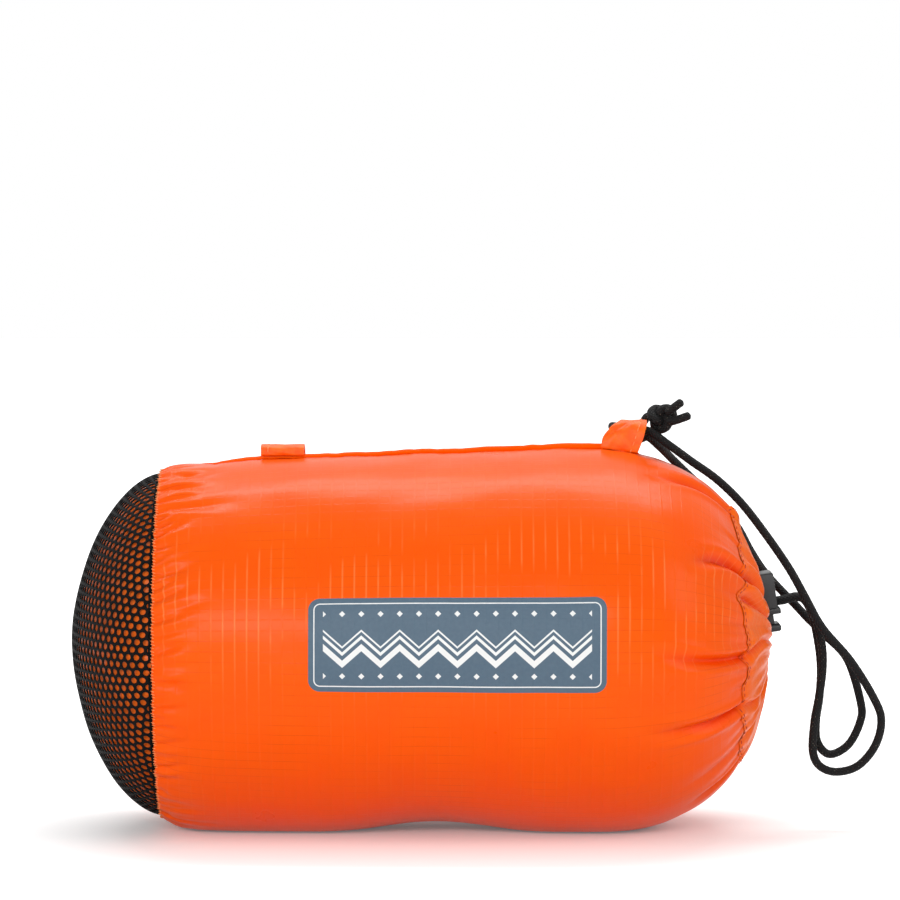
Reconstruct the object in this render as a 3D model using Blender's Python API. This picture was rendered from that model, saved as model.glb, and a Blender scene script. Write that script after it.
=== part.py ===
"""Stow bag of a group shelter, packed and lying on its side.

The bag is a tube of coated ripstop with a perforated mesh panel sewn over its left end and a
drawcord mouth gathered at its right end. The cord runs round inside the hem of the mouth, both
its ends leave through one slit, pass a spring cord lock, hang in a loop, and come back over the
shoulder to a knot at the carry loop. The packed shelter fills the bag: its canopy, and inside
that its folded window and its two seat panels.

Metres, +Z up. The bag lies along X with its mouth at +X. The origin is under its middle, on
the surface that it lies on.
"""

import math

import bmesh
import bpy
from mathutils import Matrix, Vector
from mathutils.geometry import delaunay_2d_cdt

# Bag: places along X, radii and roundness
SEAM_X = -0.088
SEAM_RADIUS = 0.0572
SEAM_BELLY = 0.0590
SEAM_PUFF = 0.0020
PUFF_LENGTH = 0.0040
NEAR_SEAM = (0.012, 0.028, 0.055)
BODY_RADIUS = 0.0668
TAPER_LENGTH = 0.045
SHOULDER_X = 0.054
END_DEPTH = 0.063
END_ROUND = 2.30
MESH_DEPTH = 0.031
MESH_ROUND = 1.75
AXIS_HEIGHT = 0.0635
AROUND = 72

# Underside: two feet cut flat by the floor, and a waist between them
FOOT_DIP = 0.0018
FOOT_TAPER = 0.007
WAIST_X = 0.005
WAIST_LENGTH = 0.084
WAIST_LIFT = 0.0045

# Cloth thicknesses and the clearance of everything that touches
CLOTH = 0.0008
GAP = 0.0003

# Mesh panel
MESH_CLOTH = 0.0008
MESH_PITCH = 0.0102
MESH_HOLE = 0.0038
MESH_RIM = 0.0040
SEAM_TAPE = 0.0008
SEAM_TAPE_REACH = 0.0041
SEAM_TAPE_LIP = 0.0016

# Gathered mouth
PLEATS = 18
CREASE_ANGLE = math.radians(5)
PLEAT_DEPTH = 0.0019
PLEAT_REACH = 0.026
PLEAT_SHARES = (1.0, 1.15, 0.8, 1.1, 0.8, 1.1, 0.8, 1.35, 0.6, 1.25, 1.3, 0.9, 1.1, 0.8, 1.0, 1.15,
                0.85, 1.1)
STITCH_RADIUS = 0.0450
HEM_THICKNESS = 0.0033
LIP_RADIUS = 0.0036
LIP_PLEAT = 0.0006
CORD_RING_RADIUS = 0.0121

# Drawcord
CORD = 0.0030
CORD_SPACING = 0.0033
HEM_BEND = 0.0035
STRAIGHT_RUN = 0.0100
CHANNEL_CLEARANCE = 0.00040
CHANNEL_STEP = 0.00003

# Cord lock: its width runs across, its depth along the cord hole, its length up
LOCK_WIDTH = 0.0122
LOCK_DEPTH = 0.0076
LOCK_LENGTH = 0.0142
LOCK_CORNER = 0.0030
LOCK_EDGE = 0.0010
LOCK_TILT = math.radians(8)
LOCK_STANDOFF = 0.0011
LOCK_WALL = 0.00135
LOCK_ROOF = 0.0016
LOCK_COLLAR = 0.0009
LOCK_COLLAR_HEIGHT = 0.0022
LOCK_SILL = 0.0020
LOCK_HOLE_HEIGHT = 0.0039
LOCK_TRAVEL = 0.0024
PLUNGER_NECK = 0.0034
BUTTON_HEIGHT = 0.0027
BUTTON_WIDTH = 0.0120
BUTTON_DEPTH = 0.0084
STUD_RADIUS = 0.0010
STUD_HEIGHT = 0.0014
SPRING_RADIUS = 0.0017
SPRING_WIRE = 0.0005
SPRING_TURNS = 5
PRESS_ROOM = 0.0052

# Dent that the lock presses into the gathered mouth
DENT_DEPTH = 0.0049
DENT_BLEND = 0.0110
DENT_RISE = 0.0080
DENT_FULL = 0.0270

# Knot of the two cord ends, and its tails
KNOT_CENTRE = (0.0818, 0.0050, 0.1400)
KNOT_SIZE = 0.0029
KNOT_SWELL = 0.0016
KNOT_CORD = 0.0025
KNOT_TIP = math.radians(78)
KNOT_SPIN = math.radians(25)
TAIL_SAG = 0.0003
UPPER_TAIL = ((0.0836, 0.0002, 0.1414), (0.0882, -0.0004, 0.1453))
LOWER_TAIL = ((0.0842, 0.0002, 0.1378), (0.0908, -0.0006, 0.1406))

# Top seam and its two tape loops
WELT_START = -0.074
WELT_END = 0.081
WELT_Y = -0.0013
WELT_WIDTH = 0.0015
WELT_HEIGHT = 0.0014
TAPE = 0.0008
TAPE_WIDTH = 0.0146
LEFT_LOOP_X = -0.0471
LEFT_LOOP_FOOT = (-0.0034, 0.0001)
LEFT_LOOP_SHAPE = (
    (-0.0032, 0.0001), (-0.0035, 0.0012), (-0.0027, 0.0024), (-0.0004, 0.0030),
    (0.0035, 0.0029), (0.0075, 0.0022), (0.0106, 0.0010), (0.0110, -0.0005),
    (0.0080, -0.0006), (0.0035, 0.0002), (0.0006, 0.0015), (-0.0019, 0.00175),
)
RIGHT_LOOP_X = 0.0605
RIGHT_LOOP_SHAPE = (
    (-0.0034, 0.0002, 0.0000, -0.0022), (-0.0036, 0.0036, 0.0008, -0.0004),
    (-0.0026, 0.0066, 0.0030, 0.0006), (-0.0004, 0.0084, 0.0056, 0.0010),
    (0.0036, 0.0088, 0.0074, 0.0008), (0.0082, 0.0074, 0.0086, 0.0004),
    (0.0092, 0.0044, 0.0088, 0.0000), (0.0088, 0.0012, 0.0070, -0.0010),
    (0.0064, 0.0000, 0.0030, -0.0020), (0.0022, 0.0008, 0.0015, -0.0021),
    (-0.0020, 0.0021, 0.0008, -0.0022),
)

# Packed shelter
POCKET_START = -0.052
POCKET_WIDTH = 0.058
POCKET_HEIGHT = 0.035
POCKET_CORNER = 0.005
CANOPY_FRONT = 0.1018
CANOPY_FRONT_EDGE = 0.0360
CANOPY_FRONT_MIDDLE = 0.0200
CANOPY_BULGE = 0.0006
PANEL_SHORT = 0.0030

FULL_TURN = 2 * math.pi


# Materials

def material(name, colour, roughness, metallic=0.0):
    """One plain finish: colour as linear RGB."""
    finish = bpy.data.materials.new(name)
    finish.use_nodes = True
    shader = finish.node_tree.nodes["Principled BSDF"]
    shader.inputs["Base Color"].default_value = (*colour, 1.0)
    shader.inputs["Roughness"].default_value = roughness
    shader.inputs["Metallic"].default_value = metallic
    return finish


# Mesh helpers

def finish_object(name, built, finish, origin=(0.0, 0.0, 0.0)):
    """Turn a bmesh in world places into a named object with outward faces and this origin."""
    bmesh.ops.recalc_face_normals(built, faces=built.faces)
    bmesh.ops.translate(built, verts=built.verts, vec=-Vector(origin))
    mesh = bpy.data.meshes.new(name)
    built.to_mesh(mesh)
    built.free()
    mesh.materials.append(finish)
    mesh.shade_smooth()
    mesh.set_sharp_from_angle(angle=math.radians(40))
    piece = bpy.data.objects.new(name, mesh)
    piece.location = origin
    bpy.context.scene.collection.objects.link(piece)
    return piece


def loft(sections, closed_path, capped=False):
    """Skin closed sections of equal count, and close the path or cap its two ends."""
    built = bmesh.new()
    rings = [[built.verts.new(point) for point in section] for section in sections]
    count = len(rings[0])
    last = len(rings) if closed_path else len(rings) - 1
    for index in range(last):
        ring, following = rings[index], rings[(index + 1) % len(rings)]
        for corner in range(count):
            after = (corner + 1) % count
            built.faces.new((ring[corner], ring[after], following[after], following[corner]))
    if capped:
        built.faces.new(rings[0])
        built.faces.new(reversed(rings[-1]))
    return built


def cut(piece, cutter):
    """Cut one object by another, which then stays only as a guide."""
    cutter.hide_render = True
    cutter.display_type = "WIRE"
    boolean = piece.modifiers.new("cut_" + cutter.name, "BOOLEAN")
    boolean.operation = "DIFFERENCE"
    boolean.solver = "EXACT"
    boolean.object = cutter


def join_to(piece, addition):
    """Grow one object by another, which then stays only as a guide."""
    addition.hide_render = True
    addition.display_type = "WIRE"
    boolean = piece.modifiers.new("join_" + addition.name, "BOOLEAN")
    boolean.operation = "UNION"
    boolean.solver = "EXACT"
    boolean.object = addition


def rounded_rectangle(width, height, corner, per_corner=4):
    """Corner points of a rectangle with round corners, round its middle."""
    corner = min(corner, 0.49 * width, 0.49 * height)
    shape = []
    for quarter, (side, face) in enumerate(((1, 1), (-1, 1), (-1, -1), (1, -1))):
        for turn in steps(quarter * math.pi / 2, (quarter + 1) * math.pi / 2, per_corner):
            shape.append((side * (width / 2 - corner) + corner * math.cos(turn),
                          face * (height / 2 - corner) + corner * math.sin(turn)))
    return shape


def smooth_step(share):
    share = min(max(share, 0.0), 1.0)
    return share * share * (3 - 2 * share)


def smooth_route(points, spacing):
    """Read points at an even spacing from a smooth curve through the route's own points."""
    route = [Vector(point) for point in points]
    route = [2 * route[0] - route[1]] + route + [2 * route[-1] - route[-2]]
    dense = []
    for index in range(1, len(route) - 2):
        before, start, end, after = route[index - 1:index + 3]
        for part in range(24):
            t = part / 24
            dense.append(0.5 * (2 * start + (end - before) * t
                                + (2 * before - 5 * start + 4 * end - after) * t ** 2
                                + (3 * start - before - 3 * end + after) * t ** 3))
    dense.append(route[-2])
    lengths = [0.0]
    for start, end in zip(dense, dense[1:]):
        lengths.append(lengths[-1] + (end - start).length)
    count = max(2, round(lengths[-1] / spacing))
    even, place = [], 0
    for number in range(count + 1):
        wanted = lengths[-1] * number / count
        while place < len(lengths) - 2 and lengths[place + 1] < wanted:
            place += 1
        share = (wanted - lengths[place]) / (lengths[place + 1] - lengths[place])
        even.append(dense[place].lerp(dense[place + 1], share))
    return even


def tube(name, points, radius, finish, sides=8, closed=False, origin=(0.0, 0.0, 0.0)):
    """Round cord or wire along points in world places, with filled ends and this origin."""
    curve = bpy.data.curves.new(name, "CURVE")
    curve.dimensions = "3D"
    curve.bevel_depth = radius
    curve.bevel_resolution = sides // 2 - 2
    curve.use_fill_caps = True
    spline = curve.splines.new("POLY")
    spline.points.add(len(points) - 1)
    for place, point in zip(spline.points, points):
        place.co = (*(Vector(point) - Vector(origin)), 1.0)
    spline.use_cyclic_u = closed
    curve.materials.append(finish)
    piece = bpy.data.objects.new(name, curve)
    piece.location = origin
    bpy.context.scene.collection.objects.link(piece)
    return piece


def solid_tube(name, points, radius, finish, sides=8):
    """Round bar along points as a mesh, for joining and cutting."""
    sections = []
    side = Vector((0.0, 0.0, 1.0))
    for index, point in enumerate(points):
        along = (points[min(index + 1, len(points) - 1)] - points[max(index - 1, 0)]).normalized()
        side = (side - along * side.dot(along)).normalized()
        other = along.cross(side)
        sections.append([point + radius * (math.cos(turn) * side + math.sin(turn) * other)
                         for turn in angles(sides)])
    return finish_object(name, loft(sections, closed_path=False, capped=True), finish)


# Outline of the filled bag

def side_radius(x):
    """Radius of the filled tube at its top and sides, which grows from the mesh seam."""
    reach = max(0.0, x - SEAM_X)
    puff = SEAM_PUFF * (1 - math.exp(-reach / PUFF_LENGTH))
    growth = BODY_RADIUS - SEAM_RADIUS - SEAM_PUFF
    return SEAM_RADIUS + puff + growth * (1 - math.exp(-reach / TAPER_LENGTH))


def belly_radius(x):
    """Radius straight down: it reaches through the floor at the feet and lifts at the waist."""
    reach = max(0.0, x - SEAM_X)
    waist = smooth_step(1 - abs(x - WAIST_X) / (WAIST_LENGTH / 2))
    full = AXIS_HEIGHT + FOOT_DIP - WAIST_LIFT * waist
    return SEAM_BELLY + (full - SEAM_BELLY) * (1 - math.exp(-reach / FOOT_TAPER))


def outline(s):
    """Place along X and share of the radius: s is -1 at the mesh's middle, 0 at the mesh seam,
    1 at the shoulder and 2 at the middle of the mouth."""
    if s < 0:
        turn = min(-s, 1.0) * math.pi / 2
        return (SEAM_X - MESH_DEPTH * math.sin(turn) ** (2 / MESH_ROUND),
                max(math.cos(turn), 0.0) ** (2 / MESH_ROUND))
    if s <= 1:
        return SEAM_X + (SHOULDER_X - SEAM_X) * s, 1.0
    turn = min(s - 1, 1.0) * math.pi / 2
    return (SHOULDER_X + END_DEPTH * math.sin(turn) ** (2 / END_ROUND),
            max(math.cos(turn), 0.0) ** (2 / END_ROUND))


def profile(s, angle):
    x, share = outline(s)
    down = max(0.0, -math.sin(angle))
    side = side_radius(x)
    return x, share * (side + (belly_radius(x) - side) * down ** 3)


def end_s(radius):
    """Where the right end's outline has this radius."""
    return 1 + math.acos((radius / BODY_RADIUS) ** (END_ROUND / 2)) * 2 / math.pi


STITCH_S = end_s(STITCH_RADIUS)
LIP_S = end_s(CORD_RING_RADIUS)
LIP_X = outline(LIP_S)[0] - LIP_RADIUS


def lobe(angle):
    """Height of the gathered cloth round the mouth: 0 in a crease, 1 on a lobe."""
    return abs(math.sin(PLEATS / 2 * (angle - CREASE_ANGLE)))


def crease_depth(s, angle):
    """How far the cloth is drawn in: each crease has its own depth, and a deep one runs further."""
    share = PLEAT_SHARES[round((angle - CREASE_ANGLE) / FULL_TURN * PLEATS) % PLEATS]
    x_from_stitch = outline(STITCH_S)[0] - outline(s)[0]
    rise = smooth_step(1 - x_from_stitch / (PLEAT_REACH * share))
    ease = smooth_step((s - STITCH_S) / (LIP_S - STITCH_S))
    depth = PLEAT_DEPTH * share * rise * (1 - ease) + LIP_PLEAT * ease
    return depth * (1 - lobe(angle))


def profile_inset(s, angle, inset):
    """Point of the outline moved inwards, square to it."""
    x, r = profile(s, angle)
    x_before, r_before = profile(max(s - 0.004, -1.0), angle)
    x_after, r_after = profile(min(s + 0.004, 2.0), angle)
    along, up = x_after - x_before, r_after - r_before
    length = math.hypot(along, up)
    return x + inset * up / length, r - inset * along / length


def dent(y, z):
    """How far the cord lock pushes the mouth in."""
    height = z - AXIS_HEIGHT
    across = smooth_step(1 - (abs(y) - LOCK_WIDTH / 2) / DENT_BLEND)
    upwards = smooth_step(height / DENT_RISE)
    radius = math.hypot(y, height)
    inside = smooth_step(1 - (radius - DENT_FULL) / (STITCH_RADIUS - DENT_FULL))
    return DENT_DEPTH * across * upwards * inside


def place(x, r, angle, floor=0.0, dented=False):
    """World point of an outline point at an angle round the bag, kept above the floor."""
    y = r * math.cos(angle)
    z = max(AXIS_HEIGHT + r * math.sin(angle), floor)
    if dented:
        x -= dent(y, z)
    return Vector((x, y, z))


def bag_point(s, angle, inset=0.0):
    x, r = profile_inset(s, angle, inset)
    return place(x, r, angle, inset)


def angles(count=AROUND):
    return [FULL_TURN * number / count for number in range(count)]


def steps(start, end, count):
    return [start + (end - start) * number / (count - 1) for number in range(count)]


# Sack

def make_sack_body(finish):
    """Ripstop tube from the mesh seam to the hem's stitching, open at both ends."""
    start = GAP / 2 / (SHOULDER_X - SEAM_X)
    near_seam = [start, *NEAR_SEAM]
    shoulder = steps(1.16, STITCH_S - 0.006, 4)
    stations = near_seam + [0.13, 0.24, 0.36, 0.48, 0.60, 0.72, 0.84, 1.0] + shoulder
    inner_stations = near_seam + [0.20, 0.36, 0.60, 0.84, 1.0] + shoulder
    sections = []
    for angle in angles():
        outer = [bag_point(s, angle, crease_depth(s, angle)) for s in stations]
        inner = [bag_point(s, angle, crease_depth(s, angle) + CLOTH) for s in inner_stations]
        sections.append(outer + inner[::-1])
    return finish_object("sack_body", loft(sections, closed_path=True), finish)


def dome_places():
    """Arc length from the mesh panel's middle against s, for laying a flat pattern on it."""
    table, length, previous = [], 0.0, None
    for s in steps(-1.0, 0.0, 121):
        point = Vector(profile(s, 0.0))
        if previous is not None:
            length += (point - previous).length
        table.append((length, s))
        previous = point
    return table


def dome_s(table, length):
    for (start, s_start), (end, s_end) in zip(table, table[1:]):
        if length <= end:
            return s_start + (s_end - s_start) * (length - start) / (end - start)
    return table[-1][1]


def make_mesh_end(finish):
    """Perforated panel: a flat disc with staggered holes, laid over the left end."""
    table = dome_places()
    reach = table[-1][0] - GAP / 2
    rim = [Vector((reach * math.cos(angle), reach * math.sin(angle))) for angle in angles()]
    points, loops = list(rim), [list(range(AROUND))]
    row_pitch = MESH_PITCH * math.sqrt(3) / 2
    rows = int(reach / row_pitch)
    centres = []
    for row in range(-rows, rows + 1):
        shift = MESH_PITCH / 2 * (row % 2)
        for column in range(-rows - 1, rows + 2):
            centre = Vector((column * MESH_PITCH + shift, row * row_pitch))
            if centre.length + MESH_HOLE + MESH_RIM < reach:
                centres.append(centre)
    for centre in centres:
        first = len(points)
        for corner in range(6):
            turn = FULL_TURN * (corner + 0.5) / 6
            points.append(centre + MESH_HOLE * Vector((math.cos(turn), math.sin(turn))))
        loops.append(list(range(first, first + 6)))
    edges = [(loop[at], loop[(at + 1) % len(loop)]) for loop in loops for at in range(len(loop))]
    for inward in (SEAM_TAPE_REACH / 2, SEAM_TAPE_REACH * 1.05):
        points += [point * (1 - inward / reach) for point in rim]
    flat_points, _, triangles, _, _, _ = delaunay_2d_cdt(points, edges, [], 1, 1e-7)

    def in_hole(triangle):
        middle = sum((flat_points[corner] for corner in triangle), Vector((0, 0))) / 3
        return any((middle - centre).length < MESH_HOLE * 0.8 for centre in centres)

    web = [triangle for triangle in triangles if not in_hole(triangle)]

    def lay(point, inset):
        angle = math.atan2(point.y, point.x)
        return bag_point(dome_s(table, point.length), angle, inset)

    built = bmesh.new()
    outside = [built.verts.new(lay(point, 0.0)) for point in flat_points]
    inside = [built.verts.new(lay(point, MESH_CLOTH)) for point in flat_points]
    for triangle in web:
        built.faces.new([outside[corner] for corner in triangle])
        built.faces.new([inside[corner] for corner in reversed(triangle)])
    for loop in loops:
        for at in range(len(loop)):
            start, end = loop[at], loop[(at + 1) % len(loop)]
            built.faces.new((outside[start], outside[end], inside[end], inside[start]))
    return finish_object("mesh_end", built, finish)


def make_mesh_seam_tape(finish):
    """Tape that binds the mesh panel to the ripstop, inside the seam."""
    left = -math.asin((SEAM_TAPE_LIP / MESH_DEPTH) ** (MESH_ROUND / 2)) * 2 / math.pi
    stations = [left, 0.0, *NEAR_SEAM[:2]]
    sections = []
    for angle in angles(AROUND // 2):
        outer = [bag_point(s, angle, CLOTH + GAP) for s in stations]
        inner = [bag_point(s, angle, CLOTH + GAP + SEAM_TAPE) for s in stations]
        sections.append(outer + inner[::-1])
    return finish_object("mesh_seam_tape", loft(sections, closed_path=True), finish)


# Gathered mouth

def ring_x(angle):
    """Where the drawcord lies along X inside the hem."""
    y = CORD_RING_RADIUS * math.cos(angle)
    z = AXIS_HEIGHT + CORD_RING_RADIUS * math.sin(angle)
    return LIP_X - dent(y, z)


LOCK_UP = Vector((-math.sin(LOCK_TILT), 0.0, math.cos(LOCK_TILT)))
LOCK_OUT = Vector((math.cos(LOCK_TILT), 0.0, math.sin(LOCK_TILT)))
EXIT_MIDDLE = Vector((ring_x(math.pi / 2), 0.0, AXIS_HEIGHT + CORD_RING_RADIUS))
CORD_IN_HOLE = -LOCK_LENGTH / 2 + LOCK_SILL + GAP + CORD / 2
LOCK_CENTRE = (EXIT_MIDDLE + LOCK_OUT * (LIP_RADIUS + LOCK_STANDOFF + LOCK_DEPTH / 2)
               - LOCK_UP * CORD_IN_HOLE)


def hem_cord_points():
    """Cord in the hem: in through the slit, once round the mouth, and out beside itself."""
    lane = CORD_SPACING / 2
    near = EXIT_MIDDLE + LOCK_OUT * LIP_RADIUS * 0.4
    out = EXIT_MIDDLE + LOCK_OUT * (LIP_RADIUS + GAP)
    first_turn = math.pi / 2 + math.asin(2 * HEM_BEND / CORD_RING_RADIUS)
    half = [out + Vector((0.0, lane, 0.0)), near + Vector((0.0, lane + GAP / 3, 0.0))]
    half.append(EXIT_MIDDLE + Vector((0.0, HEM_BEND, -GAP)))
    for angle in steps(math.pi - first_turn, -math.pi / 2, 9):
        half.append(place(ring_x(angle), CORD_RING_RADIUS, angle))
    mirrored = [Vector((point.x, -point.y, point.z)) for point in half[-2::-1]]
    return smooth_route(half + mirrored, CORD * 0.7)


def make_drawcord_casing(finish, guide):
    """Turned hem, gathered into lobes, with the drawcord's channel in its rolled lip."""
    stations = steps(STITCH_S + 0.006, LIP_S, 6)
    sections = []
    for angle in angles():
        section = []
        for s in stations[:-1]:
            x, r = profile_inset(s, angle, crease_depth(s, angle))
            section.append(place(x, r, angle, dented=True))
        roll = LIP_RADIUS - LIP_PLEAT * (1 - lobe(angle))
        for turn in steps(0.0, math.pi, 7):
            x = LIP_X + roll * math.cos(turn)
            r = CORD_RING_RADIUS - roll * math.sin(turn)
            section.append(place(x, r, angle, dented=True))
        for s in stations[-2::-2]:
            ease = (s - STITCH_S) / (LIP_S - STITCH_S)
            thick = HEM_THICKNESS + (2 * LIP_RADIUS - HEM_THICKNESS) * ease
            x, r = profile_inset(s, angle, thick)
            section.append(place(x, r, angle, dented=True))
        sections.append(section)
    casing = finish_object("drawcord_casing", loft(sections, closed_path=True), finish)
    route = hem_cord_points()
    reach = LOCK_OUT * 2 * LIP_RADIUS
    route = [route[0] + reach] + route + [route[-1] + reach]
    middle = len(route) // 2
    radius = CORD / 2 + CHANNEL_CLEARANCE
    near_half = solid_tube("cord_channel_near", route[:middle + 2], radius, guide)
    far_half = solid_tube("cord_channel_far", route[middle:], radius + CHANNEL_STEP, guide)
    cut(casing, near_half)
    cut(casing, far_half)
    return casing


def make_drawcord_hem(finish):
    return tube("drawcord_hem", hem_cord_points(), CORD / 2, finish)


# Cord lock

def lock_frame(across, out, up):
    """World point from the lock's own axes."""
    return LOCK_CENTRE + LOCK_OUT * out + Vector((0.0, across, 0.0)) + LOCK_UP * up


def lock_prism(name, levels, finish, corner):
    """Rounded block up the lock's length: levels are (up, width, depth)."""
    sections = []
    for up, width, depth in levels:
        shape = rounded_rectangle(width, depth, corner)
        sections.append([lock_frame(across, out, up) for across, out in shape])
    built = loft(sections, closed_path=False, capped=True)
    return finish_object(name, built, finish, origin=LOCK_CENTRE)


def cord_slot(name, middle, height, width, finish):
    """Cutter through the lock along its cord hole, its corners as round as the cord."""
    reach = LOCK_DEPTH + BUTTON_DEPTH
    shape = rounded_rectangle(width, height, CORD / 2 + GAP)
    sections = [[lock_frame(across, out, middle + up) for across, up in shape]
                for out in (-reach, reach)]
    return finish_object(name, loft(sections, closed_path=False, capped=True), finish)


BORE_WIDTH = LOCK_WIDTH - 2 * LOCK_WALL
BORE_DEPTH = LOCK_DEPTH - 2 * LOCK_WALL
BORE_TOP = LOCK_LENGTH / 2 - LOCK_ROOF
STEM_WIDTH = BORE_WIDTH - 2 * GAP
STEM_DEPTH = BORE_DEPTH - 2 * GAP
STEM_TOP = BORE_TOP - PRESS_ROOM
HOLE_MIDDLE = -LOCK_LENGTH / 2 + LOCK_SILL + LOCK_HOLE_HEIGHT / 2
SLOT_WIDTH = CORD_SPACING + CORD + 2 * GAP


def make_lock_body(finish, guide):
    half = LOCK_LENGTH / 2
    collar_top = -half + LOCK_COLLAR_HEIGHT
    flare = 2 * LOCK_COLLAR
    levels = [
        (-half, LOCK_WIDTH + flare - LOCK_EDGE, LOCK_DEPTH + flare - LOCK_EDGE),
        (-half + LOCK_EDGE / 2, LOCK_WIDTH + flare, LOCK_DEPTH + flare),
        (collar_top - LOCK_EDGE, LOCK_WIDTH + flare, LOCK_DEPTH + flare),
        (collar_top, LOCK_WIDTH, LOCK_DEPTH),
        (half - LOCK_EDGE * 2, LOCK_WIDTH, LOCK_DEPTH),
        (half - LOCK_EDGE / 2, LOCK_WIDTH - LOCK_EDGE, LOCK_DEPTH - LOCK_EDGE),
        (half, LOCK_WIDTH - LOCK_EDGE * 3, LOCK_DEPTH - LOCK_EDGE * 3),
    ]
    body = lock_prism("lock_body", levels, finish, LOCK_CORNER)
    bore_levels = [(-half - LOCK_SILL, BORE_WIDTH, BORE_DEPTH), (BORE_TOP, BORE_WIDTH, BORE_DEPTH)]
    cut(body, lock_prism("lock_bore_cutter", bore_levels, guide, LOCK_CORNER - LOCK_WALL))
    slot_width = SLOT_WIDTH + 2 * GAP
    cut(body, cord_slot("lock_hole_cutter", HOLE_MIDDLE, LOCK_HOLE_HEIGHT, slot_width, guide))
    return body


def make_lock_plunger(finish, guide):
    """Button, neck and slotted stem, whose slot's top edge grips the cords."""
    neck_end = -LOCK_LENGTH / 2 - PLUNGER_NECK
    button_end = neck_end - BUTTON_HEIGHT
    levels = [
        (button_end, BUTTON_WIDTH * 0.62, BUTTON_DEPTH * 0.5),
        (button_end + BUTTON_HEIGHT * 0.22, BUTTON_WIDTH * 0.88, BUTTON_DEPTH * 0.82),
        (button_end + BUTTON_HEIGHT * 0.55, BUTTON_WIDTH, BUTTON_DEPTH),
        (neck_end - BUTTON_HEIGHT * 0.12, BUTTON_WIDTH, BUTTON_DEPTH),
        (neck_end, BUTTON_WIDTH - LOCK_EDGE, BUTTON_DEPTH - LOCK_EDGE),
        (neck_end + GAP / 3, STEM_WIDTH, STEM_DEPTH),
        (STEM_TOP - LOCK_EDGE / 2, STEM_WIDTH, STEM_DEPTH),
        (STEM_TOP, STEM_WIDTH - LOCK_EDGE, STEM_DEPTH - LOCK_EDGE),
    ]
    plunger = lock_prism("lock_plunger", levels, finish, LOCK_CORNER - LOCK_WALL)
    slot_top = CORD_IN_HOLE + CORD / 2 + GAP
    slot_bottom = CORD_IN_HOLE - CORD / 2 - GAP - LOCK_TRAVEL
    middle, height = (slot_top + slot_bottom) / 2, slot_top - slot_bottom
    cut(plunger, cord_slot("plunger_slot_cutter", middle, height, SLOT_WIDTH, guide))
    stud_levels = [(STEM_TOP - LOCK_EDGE / 2, 2 * STUD_RADIUS, 2 * STUD_RADIUS),
                   (STEM_TOP + STUD_HEIGHT, 2 * STUD_RADIUS, 2 * STUD_RADIUS)]
    join_to(plunger, lock_prism("plunger_stud", stud_levels, finish, STUD_RADIUS))
    return plunger


def make_lock_spring(finish):
    """Coil spring between the plunger and the roof of the bore."""
    bottom = STEM_TOP + GAP + SPRING_WIRE / 2
    top = BORE_TOP - GAP - SPRING_WIRE / 2
    per_turn = 9
    points = []
    for number in range(SPRING_TURNS * per_turn + 1):
        share = number / (SPRING_TURNS * per_turn)
        turn = FULL_TURN * SPRING_TURNS * share
        up = bottom + (top - bottom) * share
        across, out = SPRING_RADIUS * math.cos(turn), SPRING_RADIUS * math.sin(turn)
        points.append(lock_frame(across, out, up))
    least = min((start - end).length for index, start in enumerate(points)
                for end in points[index + per_turn - 2:])
    print("spring turns lie at least", round((least - SPRING_WIRE) * 1000, 2), "mm apart")
    return tube("lock_spring", points, SPRING_WIRE / 2, finish, sides=6, origin=LOCK_CENTRE)


# Free drawcord and its knot

LONG_ROUTE = (
    (0.1288, -0.0019, 0.0785), (0.1330, -0.0026, 0.0728), (0.1356, -0.0030, 0.0630),
    (0.1360, -0.0030, 0.0545), (0.1348, -0.0030, 0.0445), (0.1334, -0.0030, 0.0364),
    (0.1329, -0.0030, 0.0265), (0.1352, -0.0030, 0.0213), (0.1408, -0.0030, 0.0192),
    (0.1482, -0.0030, 0.0212), (0.1540, -0.0030, 0.0280), (0.1561, -0.0030, 0.0364),
    (0.1538, -0.0032, 0.0438), (0.1455, -0.0042, 0.0571), (0.1353, -0.0070, 0.0690),
    (0.1288, -0.0074, 0.0805), (0.1238, -0.0066, 0.0893), (0.1166, -0.0048, 0.0998),
    (0.1084, -0.0036, 0.1104), (0.1000, -0.0026, 0.1186), (0.0910, -0.0018, 0.1250),
    (0.0835, -0.0004, 0.1304), (0.0765, 0.0024, 0.1350), (0.0690, 0.0030, 0.1355),
)
SHORT_ROUTE = (
    (0.1284, 0.0019, 0.0786), (0.1322, 0.0014, 0.0738), (0.1346, 0.0008, 0.0640),
    (0.1357, 0.0006, 0.0545), (0.1353, 0.0006, 0.0445), (0.1342, 0.0006, 0.0364),
    (0.1347, 0.0006, 0.0290), (0.1389, 0.0006, 0.0248), (0.1452, 0.0006, 0.0280),
    (0.1492, 0.0006, 0.0358), (0.1494, 0.0006, 0.0425), (0.1448, 0.0012, 0.0571),
    (0.1374, 0.0040, 0.0652), (0.1318, 0.0082, 0.0706), (0.1275, 0.0104, 0.0752),
    (0.1222, 0.0130, 0.0806), (0.1172, 0.0195, 0.0862), (0.1132, 0.0262, 0.0925),
    (0.1088, 0.0308, 0.1006), (0.1016, 0.0310, 0.1098), (0.0928, 0.0278, 0.1176),
    (0.0862, 0.0220, 0.1240), (0.0812, 0.0128, 0.1290), (0.0762, 0.0074, 0.1330),
    (0.0700, 0.0066, 0.1334),
)
LONG_TURN = (
    (0.0660, 0.0048, 0.1363), (0.0647, 0.0090, 0.1362), (0.0664, 0.0128, 0.1352),
    (0.0712, 0.0142, 0.1350), (0.0751, 0.0126, 0.1372), (0.0767, 0.0102, 0.1394),
)
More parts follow.
